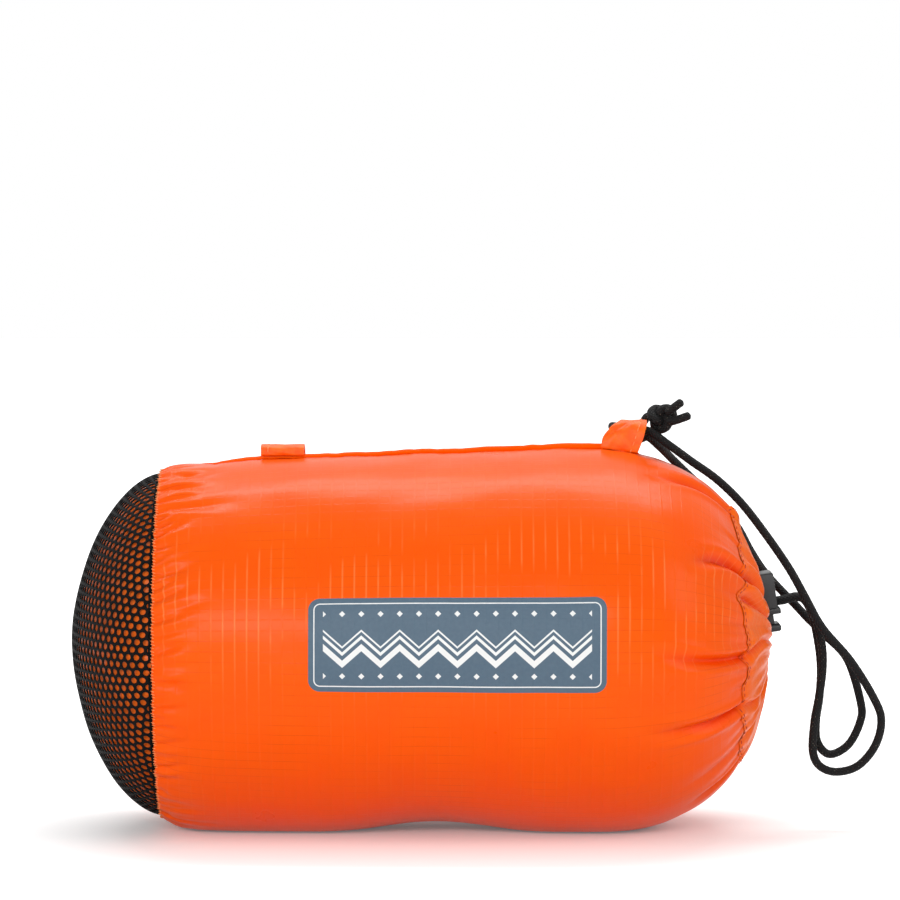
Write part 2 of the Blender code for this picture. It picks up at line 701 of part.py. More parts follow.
SHORT_TURN = (
    (0.0666, 0.0068, 0.1332), (0.0641, 0.0098, 0.1324), (0.0648, 0.0142, 0.1315),
    (0.0692, 0.0170, 0.1305), (0.0742, 0.0164, 0.1314), (0.0778, 0.0134, 0.1334),
    (0.0791, 0.0108, 0.1354),
)


def lane_start(side):
    """Start of a free strand, at the slit, and its straight run through the lock."""
    lane = Vector((0.0, side * CORD_SPACING / 2, 0.0))
    start = EXIT_MIDDLE + LOCK_OUT * (LIP_RADIUS + 2 * GAP) + lane
    return [start, start + LOCK_OUT * STRAIGHT_RUN / 2, start + LOCK_OUT * STRAIGHT_RUN]


def make_strands(finish):
    long_points = lane_start(-1) + [Vector(p) for p in LONG_ROUTE + LONG_TURN]
    short_points = lane_start(1) + [Vector(p) for p in SHORT_ROUTE + SHORT_TURN]
    for name, route in (("drawcord_long", long_points), ("drawcord_short", short_points)):
        points = smooth_route(route, CORD * 2)
        length = sum((end - start).length for start, end in zip(points, points[1:]))
        print(name, "is", round(length, 4), "m long with", len(points), "points")
        tube(name, points, CORD / 2, finish)


def make_cord_knot(finish):
    """Overhand knot of the two cord ends, drawn tight."""
    tip = Matrix.Rotation(KNOT_TIP, 3, "X") @ Matrix.Rotation(KNOT_SPIN, 3, "Z")
    turns = []
    for turn in angles(42):
        flat = KNOT_SIZE + KNOT_SWELL * math.cos(3 * turn)
        wound = Vector((flat * math.cos(2 * turn), flat * math.sin(2 * turn),
                        KNOT_SWELL * math.sin(3 * turn)))
        turns.append(Vector(KNOT_CENTRE) + tip @ wound)
    return tube("cord_knot", turns, KNOT_CORD / 2, finish, closed=True)


def make_cord_tails(finish):
    """The two short ends that stick out of the knot."""
    for name, (start, end) in (("cord_tail_upper", UPPER_TAIL), ("cord_tail_lower", LOWER_TAIL)):
        middle = (Vector(start) + Vector(end)) / 2 + Vector((0.0, 0.0, TAIL_SAG))
        tube(name, smooth_route((start, middle, end), CORD), CORD / 2, finish)


# Top seam and loops

def top_height(x, y):
    """Height of the ripstop above a point near the top line."""
    s = (x - SEAM_X) / (SHOULDER_X - SEAM_X)
    if x > SHOULDER_X:
        turn = math.asin(((x - SHOULDER_X) / END_DEPTH) ** (END_ROUND / 2))
        s = 1 + turn * 2 / math.pi
    radius = profile(s, math.pi / 2)[1]
    return AXIS_HEIGHT + math.sqrt(radius ** 2 - y ** 2)


def make_top_seam(finish):
    """Raised welt of the tube's long seam."""
    sections = []
    for x in steps(WELT_START, SHOULDER_X, 12) + steps(SHOULDER_X, WELT_END, 5)[1:]:
        section = []
        for side, lift in ((-1, 0), (1, 0), (1, 0.7), (0.5, 1), (-0.5, 1), (-1, 0.7)):
            y = WELT_Y + side * WELT_WIDTH / 2
            section.append(Vector((x, y, top_height(x, y) + GAP + lift * WELT_HEIGHT)))
        sections.append(section)
    return finish_object("top_seam", loft(sections, closed_path=False, capped=True), finish)


def tape_loop(name, route, edges, finish, origin=(0.0, 0.0, 0.0)):
    """Tape round a closed route in the YZ plane; edges give its two X ends at each point."""
    count = len(route)
    outer, inner = [], []
    for index, point in enumerate(route):
        along = (Vector(route[(index + 1) % count]) - Vector(route[index - 1])).normalized()
        normal = Vector((along.y, -along.x)) * TAPE / 2
        outer.append(Vector(point) + normal)
        inner.append(Vector(point) - normal)
    sections = []
    for index in range(count):
        left, right = edges[index]
        a, b = outer[index], inner[index]
        sections.append([Vector((left, *a)), Vector((right, *a)),
                         Vector((right, *b)), Vector((left, *b))])
    return finish_object(name, loft(sections, closed_path=True), finish, origin)


def make_left_loop(finish):
    """Flattened carry loop, lying back over the seam, open along X. It swings up about its foot."""
    left, right = LEFT_LOOP_X - TAPE_WIDTH / 2, LEFT_LOOP_X + TAPE_WIDTH / 2
    base = top_height(right, 0.0) + GAP + TAPE / 2
    route = [(y, base + height) for y, height in LEFT_LOOP_SHAPE]
    foot = (LEFT_LOOP_X, LEFT_LOOP_FOOT[0], base + LEFT_LOOP_FOOT[1])
    print("left loop swings about", [round(value, 6) for value in foot])
    return tape_loop("left_loop", route, [(left, right)] * len(route), finish, origin=foot)


def make_right_loop(finish):
    """Upright carry loop that the cord ends are tied to, its left edge drawn back by them."""
    base = top_height(RIGHT_LOOP_X + TAPE_WIDTH / 2, 0.0) + 2 * GAP + TAPE / 2
    route = [(y, base + height) for y, height, _, _ in RIGHT_LOOP_SHAPE]
    edges = [(RIGHT_LOOP_X + left, RIGHT_LOOP_X + TAPE_WIDTH + right)
             for _, _, left, right in RIGHT_LOOP_SHAPE]
    return tape_loop("right_loop", route, edges, finish)


# Packed shelter

def make_packed_canopy(finish, guide):
    """Stuffed canopy that fills the bag, with a pocket where its stiffer panels lie folded."""
    built = bmesh.new()
    count = 40
    rings = []
    for s in (-0.93, -0.78, -0.58, -0.34, -0.13, *NEAR_SEAM, 0.16, 0.36, 0.60, 0.84, 1.0, 1.22,
              1.38, 1.47):
        ring = []
        for angle in angles(count):
            inset = CLOTH + 2 * GAP
            if s < 0.08:
                inset += SEAM_TAPE + 2 * GAP
            if s > 1:
                inset += PLEAT_DEPTH * max(PLEAT_SHARES)
            ring.append(built.verts.new(bag_point(s, angle, inset)))
        rings.append(ring)
    for x, r in ((CANOPY_FRONT - CANOPY_BULGE, CANOPY_FRONT_EDGE),
                 (CANOPY_FRONT, CANOPY_FRONT_MIDDLE)):
        rings.append([built.verts.new(place(x, r, angle)) for angle in angles(count)])
    for ring, following in zip(rings, rings[1:]):
        for corner in range(count):
            after = (corner + 1) % count
            built.faces.new((ring[corner], ring[after], following[after], following[corner]))
    built.faces.new(rings[0])
    built.faces.new(rings[-1])
    canopy = finish_object("packed_canopy", built, finish)
    length = CANOPY_FRONT + PANEL_SHORT - POCKET_START
    pocket = folded_stack("pocket_cutter", POCKET_START, length, POCKET_WIDTH, 0.0,
                          POCKET_HEIGHT, POCKET_CORNER, guide)
    cut(canopy, pocket)
    return canopy


def folded_stack(name, start, length, width, middle, height, corner, finish):
    """Folded panel as a slab along X with rounded folds on its long sides."""
    shape = rounded_rectangle(width, height, corner)
    sections = [[Vector((x, y, AXIS_HEIGHT + middle + z)) for y, z in shape]
                for x in (start, start + length)]
    return finish_object(name, loft(sections, closed_path=False, capped=True), finish)


def make_folded_panels(seat_finish, window_finish):
    """Two seat panels with the clear window folded between them."""
    start = POCKET_START + GAP
    length = CANOPY_FRONT - PANEL_SHORT - start
    width = POCKET_WIDTH - 2 * GAP
    share = (POCKET_HEIGHT - 4 * GAP) / 3
    rise = share + GAP
    for name, middle, finish in (("seat_panel_lower", -rise, seat_finish),
                                 ("folded_window", 0.0, window_finish),
                                 ("seat_panel_upper", rise, seat_finish)):
        folded_stack(name, start, length, width, middle, share, POCKET_CORNER, finish)


def main():
    for leftover in list(bpy.data.objects):
        bpy.data.objects.remove(leftover)

    ripstop = material("orange_ripstop", (1.0, 0.115, 0.0), 0.38)
    mesh_cloth = material("black_mesh", (0.012, 0.012, 0.013), 0.75)
    tape = material("orange_tape", (1.0, 0.10, 0.0), 0.55)
    black_tape = material("black_tape", (0.012, 0.012, 0.012), 0.8)
    cord = material("black_cord", (0.010, 0.010, 0.011), 0.7)
    plastic = material("black_acetal", (0.030, 0.032, 0.034), 0.42)
    steel = material("spring_steel", (0.55, 0.55, 0.56), 0.3, metallic=1.0)
    seat_cloth = material("grey_seat_cloth", (0.05, 0.05, 0.055), 0.7)
    window_film = material("clear_window_film", (0.75, 0.80, 0.82), 0.15)
    guide = material("guide", (0.5, 0.5, 0.5), 0.5)

    make_sack_body(ripstop)
    make_mesh_end(mesh_cloth)
    make_mesh_seam_tape(black_tape)
    make_drawcord_casing(ripstop, guide)
    make_drawcord_hem(cord)
    make_lock_body(plastic, guide)
    make_lock_plunger(plastic, guide)
    make_lock_spring(steel)
    make_strands(cord)
    make_cord_knot(cord)
    make_cord_tails(cord)
    make_top_seam(ripstop)
    make_left_loop(tape)
    make_right_loop(tape)
    make_packed_canopy(ripstop, guide)
    make_folded_panels(seat_cloth, window_film)


main()
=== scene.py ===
"""Looks of a packed group shelter: an orange ripstop stow bag lying on its side, stuffed full."""

import math
import random
from functools import partial

import bmesh
import bpy
import numpy as np
from mathutils import Matrix, Vector, noise


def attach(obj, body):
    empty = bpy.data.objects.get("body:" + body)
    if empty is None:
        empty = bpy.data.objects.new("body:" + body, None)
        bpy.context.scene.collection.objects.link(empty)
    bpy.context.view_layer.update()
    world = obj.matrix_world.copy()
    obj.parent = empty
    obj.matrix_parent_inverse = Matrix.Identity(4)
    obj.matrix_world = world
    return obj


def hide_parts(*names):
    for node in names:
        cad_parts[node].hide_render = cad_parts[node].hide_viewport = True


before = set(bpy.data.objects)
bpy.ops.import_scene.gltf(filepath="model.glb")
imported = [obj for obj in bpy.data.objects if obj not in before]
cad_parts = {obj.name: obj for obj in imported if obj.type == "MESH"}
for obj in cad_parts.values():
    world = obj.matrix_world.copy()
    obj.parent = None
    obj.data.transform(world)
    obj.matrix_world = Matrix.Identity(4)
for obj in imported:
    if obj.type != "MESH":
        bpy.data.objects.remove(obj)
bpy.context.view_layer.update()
FULL_TURN = 2 * math.pi
MM = 0.001


# Camera and light: the strength of the daylight, and each soft box's place, what it faces, its size
# in metres and its power in watts

WORLD_LIGHT = 0.385
SOFTBOXES = {
    "softbox_above": ((0.0, 0.34, 0.92), (0.0, 0.0, 0.08), (1.0, 0.22), 5.5),
    "softbox_front": ((-0.25, -1.15, 0.40), (0.0, 0.0, 0.06), (0.9, 0.20), 6.2),
    "softbox_right": ((0.95, -0.45, 0.55), (0.05, 0.0, 0.07), (0.3, 0.5), 1.7),
}

def linear(code):
    """sRGB hex to linear RGBA."""
    parts = [int(code[at:at + 2], 16) / 255 for at in (1, 3, 5)]
    return tuple(c / 12.92 if c <= 0.04045 else ((c + 0.055) / 1.055) ** 2.4 for c in parts) + (1.0,)


def aim(thing, place, target):
    thing.location = place
    thing.rotation_euler = (Vector(target) - Vector(place)).to_track_quat("-Z", "Y").to_euler()


def set_camera():
    """Level view of the front from 1.5 m, with the bag below the middle of the frame."""
    distance, frame_width, rise, sensor = 1.5, 0.306, math.radians(5.5), 36.0
    middle = (0.0095, 0.0, 0.0637)
    bpy.ops.object.camera_add()
    camera = bpy.context.object
    aim(camera, (middle[0], -distance * math.cos(rise), middle[2] + distance * math.sin(rise)), middle)
    camera.data.sensor_width = sensor
    camera.data.lens = sensor * distance / frame_width
    camera.data.shift_y = 0.212
    camera.data.clip_end = 20.0
    bpy.context.scene.camera = camera


def area_light(name, place, target, size, power):
    """Rectangular soft box."""
    bpy.ops.object.light_add(type="AREA")
    lamp = bpy.context.object
    lamp.name = name
    aim(lamp, place, target)
    lamp.data.shape = "RECTANGLE"
    lamp.data.size, lamp.data.size_y = size
    lamp.data.energy = power


def feed(node, *values, **named):
    """Give a node's inputs, in order or by name, a value, an sRGB code or what another node gives."""
    for place, value in [*enumerate(values), *named.items()]:
        socket = node.inputs[place if isinstance(place, int) else place.replace("_", " ")]
        if isinstance(value, bpy.types.NodeSocket):
            node.id_data.links.new(value, socket)
        elif value is not None:
            socket.default_value = linear(value) if isinstance(value, str) else value


def add(tree, kind, *values, **named):
    """Add a node with its inputs; a kind in capitals is an operation of the Math node.

    What comes back is what it gives, or all its outputs where several are of use."""
    operation = kind.isupper()
    made = tree.nodes.new("ShaderNode" + ("Math" if operation else kind))
    if operation:
        made.operation = kind
    elif kind == "Mix":
        made.data_type = "RGBA"
        values = (values[0], *[None] * 5, *values[1:])  # its two colours are inputs 6 and 7
    elif kind == "Attribute":
        made.attribute_name = "fold"
        return made.outputs["Fac"]
    feed(made, *values, **named)
    if kind in ("TexCoord", "SeparateXYZ", "LightPath"):
        return made.outputs
    return made.outputs[2 if kind == "Mix" else 0]


def seen_directly(node):
    """1 for a ray from the camera, and for what gloss and clear plastic show."""
    ray = node("LightPath")
    gloss = node("MAXIMUM", ray["Is Glossy Ray"], ray["Is Transmission Ray"])
    return node("MAXIMUM", ray["Is Camera Ray"], gloss)


def set_lights():
    """Even daylight from all round, white where it is seen, and the soft boxes."""
    scene = bpy.context.scene
    scene.view_settings.view_transform = "Standard"
    world = bpy.data.worlds.new("studio")
    scene.world = world
    world.use_nodes = True
    node, own = partial(add, world.node_tree), world.node_tree.nodes
    feed(own["Background"], Color="#FFFFFF", Strength=WORLD_LIGHT)
    seen = node("Background", Color="#FFFFFF", Strength=1.0)
    shown = node("MixShader", seen_directly(node), own["Background"].outputs[0], seen)
    feed(own["World Output"], Surface=shown)
    for name, (place, target, size, power) in SOFTBOXES.items():
        area_light(name, place, target, size, power)


set_camera()
set_lights()


# Meshes: cells round and along each cloth, fine enough for its folds and under 200,000 triangles

SACK_CELLS, HEM_CELLS, STUFFING_CELLS = (600, 164), (504, 96), (260, 170)
WELT_CELLS, TAPE_CELLS = (20, 420), (168, 30)


def pick(piece=None):
    """Make this the only selected piece, or select none."""
    bpy.ops.object.select_all(action="DESELECT")
    if piece:
        bpy.context.view_layer.objects.active = piece
        piece.select_set(True)


def summed(steps):
    """How far along each point lies, from the steps between the points."""
    return np.concatenate([[0.0], np.cumsum(steps)])


def path_lengths(points):
    return summed(np.linalg.norm(np.diff(points, axis=0), axis=1))


def curve(before, start, end, after, t):
    """Smooth curve through four places, read between start and end at t."""
    return 0.5 * (2 * start + (end - before) * t
                  + (2 * before - 5 * start + 4 * end - after) * t ** 2
                  + (3 * start - before - 3 * end + after) * t ** 3)


def columns(*values):
    return np.stack(values, axis=-1)


def read_at(wanted, lengths, points):
    """The points between points at these lengths along them."""
    return columns(*(np.interp(wanted, lengths, points[:, axis]) for axis in range(3)))


def bell(gap, spread):
    return np.exp(-(gap / spread) ** 2)


def grid_piece(name, cells, shape, flat=None, fold=None):
    """Plane primitive of these cells, bent to shape(u, v), with its meeting edges joined.

    flat(u, v) gives its UV map in mm of cloth, and fold(u, v) how deep in a fold each point lies, which the
    ripstop's material paints redder as painted shade."""
    pick()
    bpy.ops.mesh.primitive_grid_add(x_subdivisions=cells[0], y_subdivisions=cells[1], size=1.0)
    piece = bpy.context.object
    piece.name = name
    mesh = piece.data
    plane = np.empty(len(mesh.vertices) * 3)
    mesh.vertices.foreach_get("co", plane)
    u, v = plane[0::3] + 0.5, plane[1::3] + 0.5
    mesh.vertices.foreach_set("co", np.ascontiguousarray(shape(u, v), dtype=float).ravel())
    if flat is not None:
        corners = np.empty(len(mesh.loops), dtype=np.int32)
        mesh.loops.foreach_get("vertex_index", corners)
        mesh.uv_layers.active.data.foreach_set("uv", flat(u, v)[corners].ravel())
    if fold is not None:
        held = mesh.attributes.new("fold", "FLOAT", "POINT")
        held.data.foreach_set("value", np.clip(fold(u, v), 0, 1).astype(np.float32))
    mesh.update()
    bpy.ops.object.mode_set(mode="EDIT")
    bpy.ops.mesh.select_all(action="SELECT")
    bpy.ops.mesh.remove_doubles(threshold=1e-6)
    bpy.ops.mesh.normals_make_consistent(inside=False)
    bpy.ops.object.mode_set(mode="OBJECT")
    bpy.ops.object.shade_smooth()
    return piece


# Bag: the same outline as the frame's solids

SEAM_X, SHOULDER_X = -0.088, 0.054
SEAM_RADIUS, SEAM_BELLY, BODY_RADIUS = 0.0572, 0.0590, 0.0668
SEAM_PUFF, PUFF_LENGTH = 0.0020, 0.0040
END_DEPTH, END_ROUND = 0.063, 2.30
MESH_DEPTH, MESH_ROUND = 0.031, 1.75
AXIS_HEIGHT = 0.0635
STITCH_RADIUS, LIP_RADIUS, CORD_RING_RADIUS = 0.0450, 0.0036, 0.0121
CREASE_ANGLE = math.radians(5)
# How soon the sides and the belly fill out behind the seam, and the waist that stands off the floor
SIDE_LENGTH, BELLY_LENGTH, BELLY_SAG = 0.045, 0.007, 0.0018
WAIST_X, WAIST_LENGTH, WAIST_RISE = 0.005, 0.042, 0.0045
FLOOR_GAP = 0.001
# Dent that the cord lock presses in the mouth: its depth, half its width and that width's soft edge,
# over what height it starts, and how far from the middle it is full
DENT_DEPTH, DENT_HALF, DENT_EDGE, DENT_START, DENT_RADIUS = 0.0049, 0.0061, 0.011, 0.008, 0.027


def tenths(rows):
    """Rows of tenths of a millimetre, in metres."""
    return [tuple(value / 10000 for value in row) for row in rows]


def smooth_step(share):
    share = np.clip(share, 0.0, 1.0)
    return share * share * (3 - 2 * share)


def outline(s):
    """Place along X and share of the full radius.

    s is -1 at the mesh's middle, 0 at its seam, 1 at the shoulder and 2 at the mouth."""
    s = np.asarray(s, dtype=float)
    left = np.clip(-s, 0, 1) * math.pi / 2
    right = np.clip(s - 1, 0, 1) * math.pi / 2
    x = np.where(s < 0, SEAM_X - MESH_DEPTH * np.sin(left) ** (2 / MESH_ROUND),
                 np.where(s <= 1, SEAM_X + (SHOULDER_X - SEAM_X) * s,
                          SHOULDER_X + END_DEPTH * np.sin(right) ** (2 / END_ROUND)))
    share = np.where(s < 0, np.clip(np.cos(left), 0, 1) ** (2 / MESH_ROUND),
                     np.clip(np.cos(right), 0, 1) ** (2 / END_ROUND))
    return x, np.where((s >= 0) & (s <= 1), 1.0, share)


def profile(s, angle):
    """Place along X and distance from the middle line, with the belly down to the floor."""
    x, share = outline(s)
    reach = np.maximum(0.0, x - SEAM_X)
    puff = SEAM_PUFF * (1 - np.exp(-reach / PUFF_LENGTH))
    side = SEAM_RADIUS + puff + (BODY_RADIUS - SEAM_RADIUS - SEAM_PUFF) * (1 - np.exp(-reach / SIDE_LENGTH))
    waist = smooth_step(1 - np.abs(x - WAIST_X) / WAIST_LENGTH)
    fall = AXIS_HEIGHT + BELLY_SAG - WAIST_RISE * waist - SEAM_BELLY
    belly = SEAM_BELLY + fall * (1 - np.exp(-reach / BELLY_LENGTH))
    down = np.maximum(0.0, -np.sin(angle))
    return x, share * (side + (belly - side) * down ** 3)


def turned(r, angle):
    """Across and up of a point this far from the bag's middle line."""
    return r * np.cos(angle), AXIS_HEIGHT + r * np.sin(angle)


def end_s(radius):
    return 1 + math.acos((radius / BODY_RADIUS) ** (END_ROUND / 2)) * 2 / math.pi


STITCH_S, LIP_S = end_s(STITCH_RADIUS), end_s(CORD_RING_RADIUS)
STITCH_X = float(outline(STITCH_S)[0])
LIP_X = float(outline(LIP_S)[0]) - LIP_RADIUS


def dent(y, z):
    """How far the cord lock pushes the mouth in."""
    height = z - AXIS_HEIGHT
    across = smooth_step(1 - (np.abs(y) - DENT_HALF) / DENT_EDGE)
    inside = smooth_step(1 - (np.hypot(y, height) - DENT_RADIUS) / (STITCH_RADIUS - DENT_RADIUS))
    return DENT_DEPTH * across * smooth_step(height / DENT_START) * inside


# How the hem's stitched line wanders round the mouth: degrees, spread and shift along the outline
HEM_SHIFT = 0.045
HEM_WANDER = ((106, 11, -0.075), (130, 6, -0.012), (145, 6, 0.012), (155, 4.5, -0.036), (174, 9, 0.028),
              (190, 4, 0.036), (206, 7, -0.018), (221, 7, 0.018), (236, 8, -0.014), (20, 12, -0.02),
              (60, 10, 0.02), (325, 12, -0.02), (290, 14, 0.016))
# Where the stuffing pushes the cloth out: place on the outline and its spread, degrees and spread, mm
SWELLS = ((1.86, 0.10, 168, 24, 1.5), (1.42, 0.26, 252, 34, 1.3), (1.57, 0.04, 101, 10, 1.5),
          (0.42, 0.55, 90, 34, -1.3), (1.10, 0.30, 150, 24, 0.9), (0.03, 0.085, 90, 26, 1.1))


def slide(s, angle):
    """Place on the outline once the hem's line has wandered."""
    degrees = np.degrees(angle) % 360
    wander = HEM_SHIFT + sum(shift * bell(degrees - middle, spread)
                             for middle, spread, shift in HEM_WANDER)
    return s + wander * bell(s - STITCH_S, 0.16)


def swell(s, angle):
    """How far the stuffing pushes the cloth out here."""
    degrees = np.degrees(angle) % 360
    return MM * sum(height * np.exp(-((s - place) / reach) ** 2 - ((degrees - middle) / spread) ** 2)
                    for place, reach, middle, spread, height in SWELLS)


def bag_point(s, angle, rise=0.0, dented=False):
    """World points of the outline, moved outwards by rise, square to it, and kept above the floor."""
    x, r = profile(s, angle)
    x_before, r_before = profile(np.maximum(s - 0.004, -1.0), angle)
    x_after, r_after = profile(np.minimum(s + 0.004, 2.0), angle)
    along, up = x_after - x_before, r_after - r_before
    length = np.hypot(along, up)
    x, r = x - rise * up / length, r + rise * along / length
    y, z = turned(r, angle)
    z = np.where(z < FLOOR_GAP, FLOOR_GAP * np.exp((z - FLOOR_GAP) / FLOOR_GAP), z)
    if dented:
        x = x - dent(y, z)
    return columns(x, y, z)


def arc_gap(angle, middle):
    """Angle from middle, between minus and plus half a turn."""
    return (angle - middle + math.pi) % FULL_TURN - math.pi


# Folds of the ripstop

random.seed(7)
# Each fold of the mouth: its degrees round the bag at the stitching, at its far end and at the cord,
# its depth and width on the bag, its reach along the bag, and its depth and width on the hem, in mm
MOUTH_FOLDS = [
    (94, 93, 97, 0.8, 2.2, 16, 0.8, 2.0), (106, 114, 117, 2.9, 2.1, 31, 1.2, 2.0),
    (128, 130, 127, 0.4, 2.0, 9, 1.0, 2.0), (141.5, 149, 136, 3.0, 1.9, 17, 4.4, 1.9),
    (154, 156, 152, 0.6, 2.0, 8, 3.4, 2.1), (167, 168, 163, 0.4, 2.0, 10, 0.9, 1.8),
    (182, 178, 173, 2.6, 1.7, 31, 2.4, 1.7), (205.4, 202.5, 218, 2.7, 1.7, 32, 1.9, 1.8),
    (228, 229, 233, 0.9, 2.2, 20, 1.3, 2.0), (243, 244, 247, 2.0, 1.9, 16, 1.5, 1.8),
    (262, 260, 263, 1.2, 2.4, 20, 1.4, 2.0), (284, 286, 284, 1.6, 2.2, 24, 1.6, 2.2),
    (306, 310, 304, 2.1, 2.0, 30, 2.0, 2.0), (325, 322, 326, 1.3, 2.4, 20, 1.3, 2.2),
    (344, 347, 345, 2.3, 1.9, 28, 2.2, 1.9), (5, 3, 6, 1.4, 2.4, 22, 1.4, 2.4),
    (24, 20, 25, 2.2, 2.0, 31, 2.0, 2.0), (46, 48, 45, 1.3, 2.4, 19, 1.5, 2.4),
    (66, 62, 64, 2.0, 2.1, 27, 2.0, 2.2), (82, 84, 83, 1.2, 2.4, 18, 1.4, 2.0),
]
# Puckers, drawn at random: at the mesh seam, at the hem's stitches and along the top seam; each has
# its place, depth, width and reach in mm, and some a drift to the side
SEAM_COUNT, HEM_COUNT, WELT_COUNT = 104, 74, 33
SEAM_PUCKERS = []
for number in range(SEAM_COUNT):
    middle = FULL_TURN * (number + random.uniform(-0.35, 0.35)) / SEAM_COUNT
    SEAM_PUCKERS.append((middle, random.uniform(0.35, 1.15), random.uniform(0.65, 1.25),
                         random.choice((4, 7, 9, 10, 11, 12, 19)) * random.uniform(0.85, 1.15),
                         0.055 * math.cos(middle) + random.uniform(-0.06, 0.06)))
HEM_PUCKERS = [(FULL_TURN * (n + random.uniform(-0.3, 0.3)) / HEM_COUNT, random.uniform(0.1, 0.45),
                random.uniform(0.8, 1.5), random.uniform(3, 8)) for n in range(HEM_COUNT)]
WELT_PUCKERS = [(-70 + 4.6 * n + random.uniform(-1.5, 1.5), random.uniform(0.05, 0.25),
                 random.uniform(1.0, 2.2), random.uniform(4, 13), random.uniform(-0.35, 0.35))
                for n in range(WELT_COUNT)]
WELT_Y = -0.0013
# The cloth's small unevenness and the welt's folds fade out at the seam and before this place
MOUTH_X, FADE = 0.103, 0.02


def valley(u):
    """Sharp fold with soft swelling on both sides."""
    u = np.abs(u)
    return np.exp(-u ** 1.4) - 0.30 * bell(u - 2.1, 0.9)


def lumps(points, size, seed):
    """Smooth unevenness of the stuffing under the cloth, between -1 and 1."""
    shift = Vector((seed, 0.0, 0.0))
    return np.array([noise.noise(Vector(point) / size + shift) for point in points])


def crease(angle, centre, r, width):
    """Fold at this angle, its width in mm of cloth."""
    return valley(arc_gap(angle, centre) * r / MM / width)


def mouth_folds(angle, x, r):
    """Creases that run back from the hem, and the small gathers between them."""
    rise = np.zeros_like(x)
    before = np.maximum(STITCH_X - x, 0.0) / MM
    for middle, far, _, depth, width, reach, _, _ in MOUTH_FOLDS:
        fade = smooth_step(1.15 - before / reach)
        centre = math.radians(middle) + math.radians(far - middle) * np.minimum(before / reach, 1) ** 1.5
        rise -= depth * fade * crease(angle, centre, r, width * (0.8 + 0.7 * before / reach))
    for middle, depth, width, reach in HEM_PUCKERS:
        rise -= depth * smooth_step(1 - before / reach) * crease(angle, middle, r, width)
    return rise * MM


def seam_puckers(angle, x, r):
    """Gathers that run from the mesh seam; the cloth's edge stands up there over the mesh."""
    rise = np.zeros_like(x)
    beyond = np.maximum(x - SEAM_X, 0.0) / MM
    upper = 0.88 + 0.12 * np.sin(angle)
    for middle, depth, width, reach, drift in SEAM_PUCKERS:
        fade = np.exp(-(beyond / reach) ** 3.5)
        centre = middle + drift * beyond / 15
        rise -= depth * fade * upper * crease(angle, centre, r, width * (1 + beyond / 12))
    edge = bell(beyond, 1.6)
    rise = np.maximum(1.35 * rise, -1.20 - 0.06 * beyond) + 0.42 * bell(beyond, 9)
    return (rise * (1 - 0.50 * edge) + 0.42 * edge) * MM


def welt_puckers(x, y, z):
    """Small folds that the top seam's stitching pulls across its line."""
    rise = np.zeros_like(x)
    away = np.abs(y - WELT_Y) / MM
    steady = 1 - bell(away, 1.2)
    for middle, depth, width, reach, drift in WELT_PUCKERS:
        fade = np.exp(-(away / reach) ** 1.5)
        rise -= depth * fade * steady * valley((x / MM - middle - drift * away) / width)
    rise -= 0.45 * bell(away, 3.0)
    return np.where(z > AXIS_HEIGHT, rise * MM, 0.0)


def sack_rise(s, angle):
    """Everything that stands proud of, or lies under, the smooth filled outline."""
    x, r = profile(s, angle)
    y, z = turned(r, angle)
    points = columns(x, y, z)
    ends = smooth_step((x - SEAM_X) / FADE) * smooth_step((MOUTH_X - x) / FADE)
    steady = 1 - 0.8 * bell(np.degrees(angle) % 360 - 270, 38)  # less uneven where it lies on the floor
    rise = (0.75 * lumps(points, 0.034, 3.1) + 0.30 * lumps(points, 0.013, 9.7)) * MM * ends * steady
    rise = rise + swell(s, angle) + mouth_folds(angle, x, r) + seam_puckers(angle, x, r)
    rise = rise + welt_puckers(x, y, z) * ends
    # The seam's binding, 5 mm wide under the cloth, holds it up
    over_binding = -0.65 - 0.35 * np.maximum((x - SEAM_X) / MM - 5.0, 0.0)
    return np.maximum(rise, over_binding * MM)


def cloth_uv(s, angle):
    """Millimetres on the flat cloth: round the tube, and along it from the mesh seam."""
    s = np.asarray(s, dtype=float)
    table = np.linspace(-1, 2, 1501)
    x, share = outline(table)
    arc = summed(np.hypot(np.diff(x), np.diff(share * BODY_RADIUS)))
    arc -= np.interp(0.0, table, arc)
    return columns(angle * BODY_RADIUS / MM, np.interp(s, table, arc) / MM)


def make_sack_cloth():
    """Ripstop tube: its outside from the mesh seam to under the hem, and back along its inner face.

    The knots are the share of its length, the place on the outline, and mm out from there."""
    start = 0.0010
    v_knots = [0.0, 0.045, 0.052, 0.060, 0.068, 0.22, 0.54, 0.885, 0.895, 0.910, 0.930, 1.0]
    s_knots = [0.5, 0.03, start, start - 0.0015, start, 0.16, 0.94, STITCH_S - 0.003, STITCH_S + 0.005,
               STITCH_S + 0.03, STITCH_S - 0.06, 0.5]
    lift_knots = [-1.9, -0.9, -0.6, -0.25, 0.0, 0.0, 0.0, -0.10, -0.45, -1.0, -1.6, -1.9]

    def place(u, v):
        return slide(np.interp(v, v_knots, s_knots), FULL_TURN * u), FULL_TURN * u

    def shape(u, v):
        s, angle = place(u, v)
        return bag_point(s, angle, sack_rise(s, angle) + np.interp(v, v_knots, lift_knots) * MM)

    def fold(u, v):
        s, angle = place(u, v)
        return -mouth_folds(angle, *profile(s, angle)) / (2.9 * MM)

    piece = grid_piece("sack_cloth", SACK_CELLS, shape, lambda u, v: cloth_uv(*place(u, v)), fold)
    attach(piece, "bag")
    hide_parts("sack_body")
    return piece


# Mesh end and the stuffing behind it: its holes' pitch, radius, corners, rounded rim and the rim's dip,
# its thickness, and how far before the seam it starts to tuck under the cloth

HOLE_PITCH, HOLE_RADIUS, CORNERS, HOLE_FLARE, HOLE_DIP = 3.35 * MM, 1.13 * MM, 12, 1.22, 0.00012
MESH_THICKNESS, TUCK = 0.00035, 0.0012


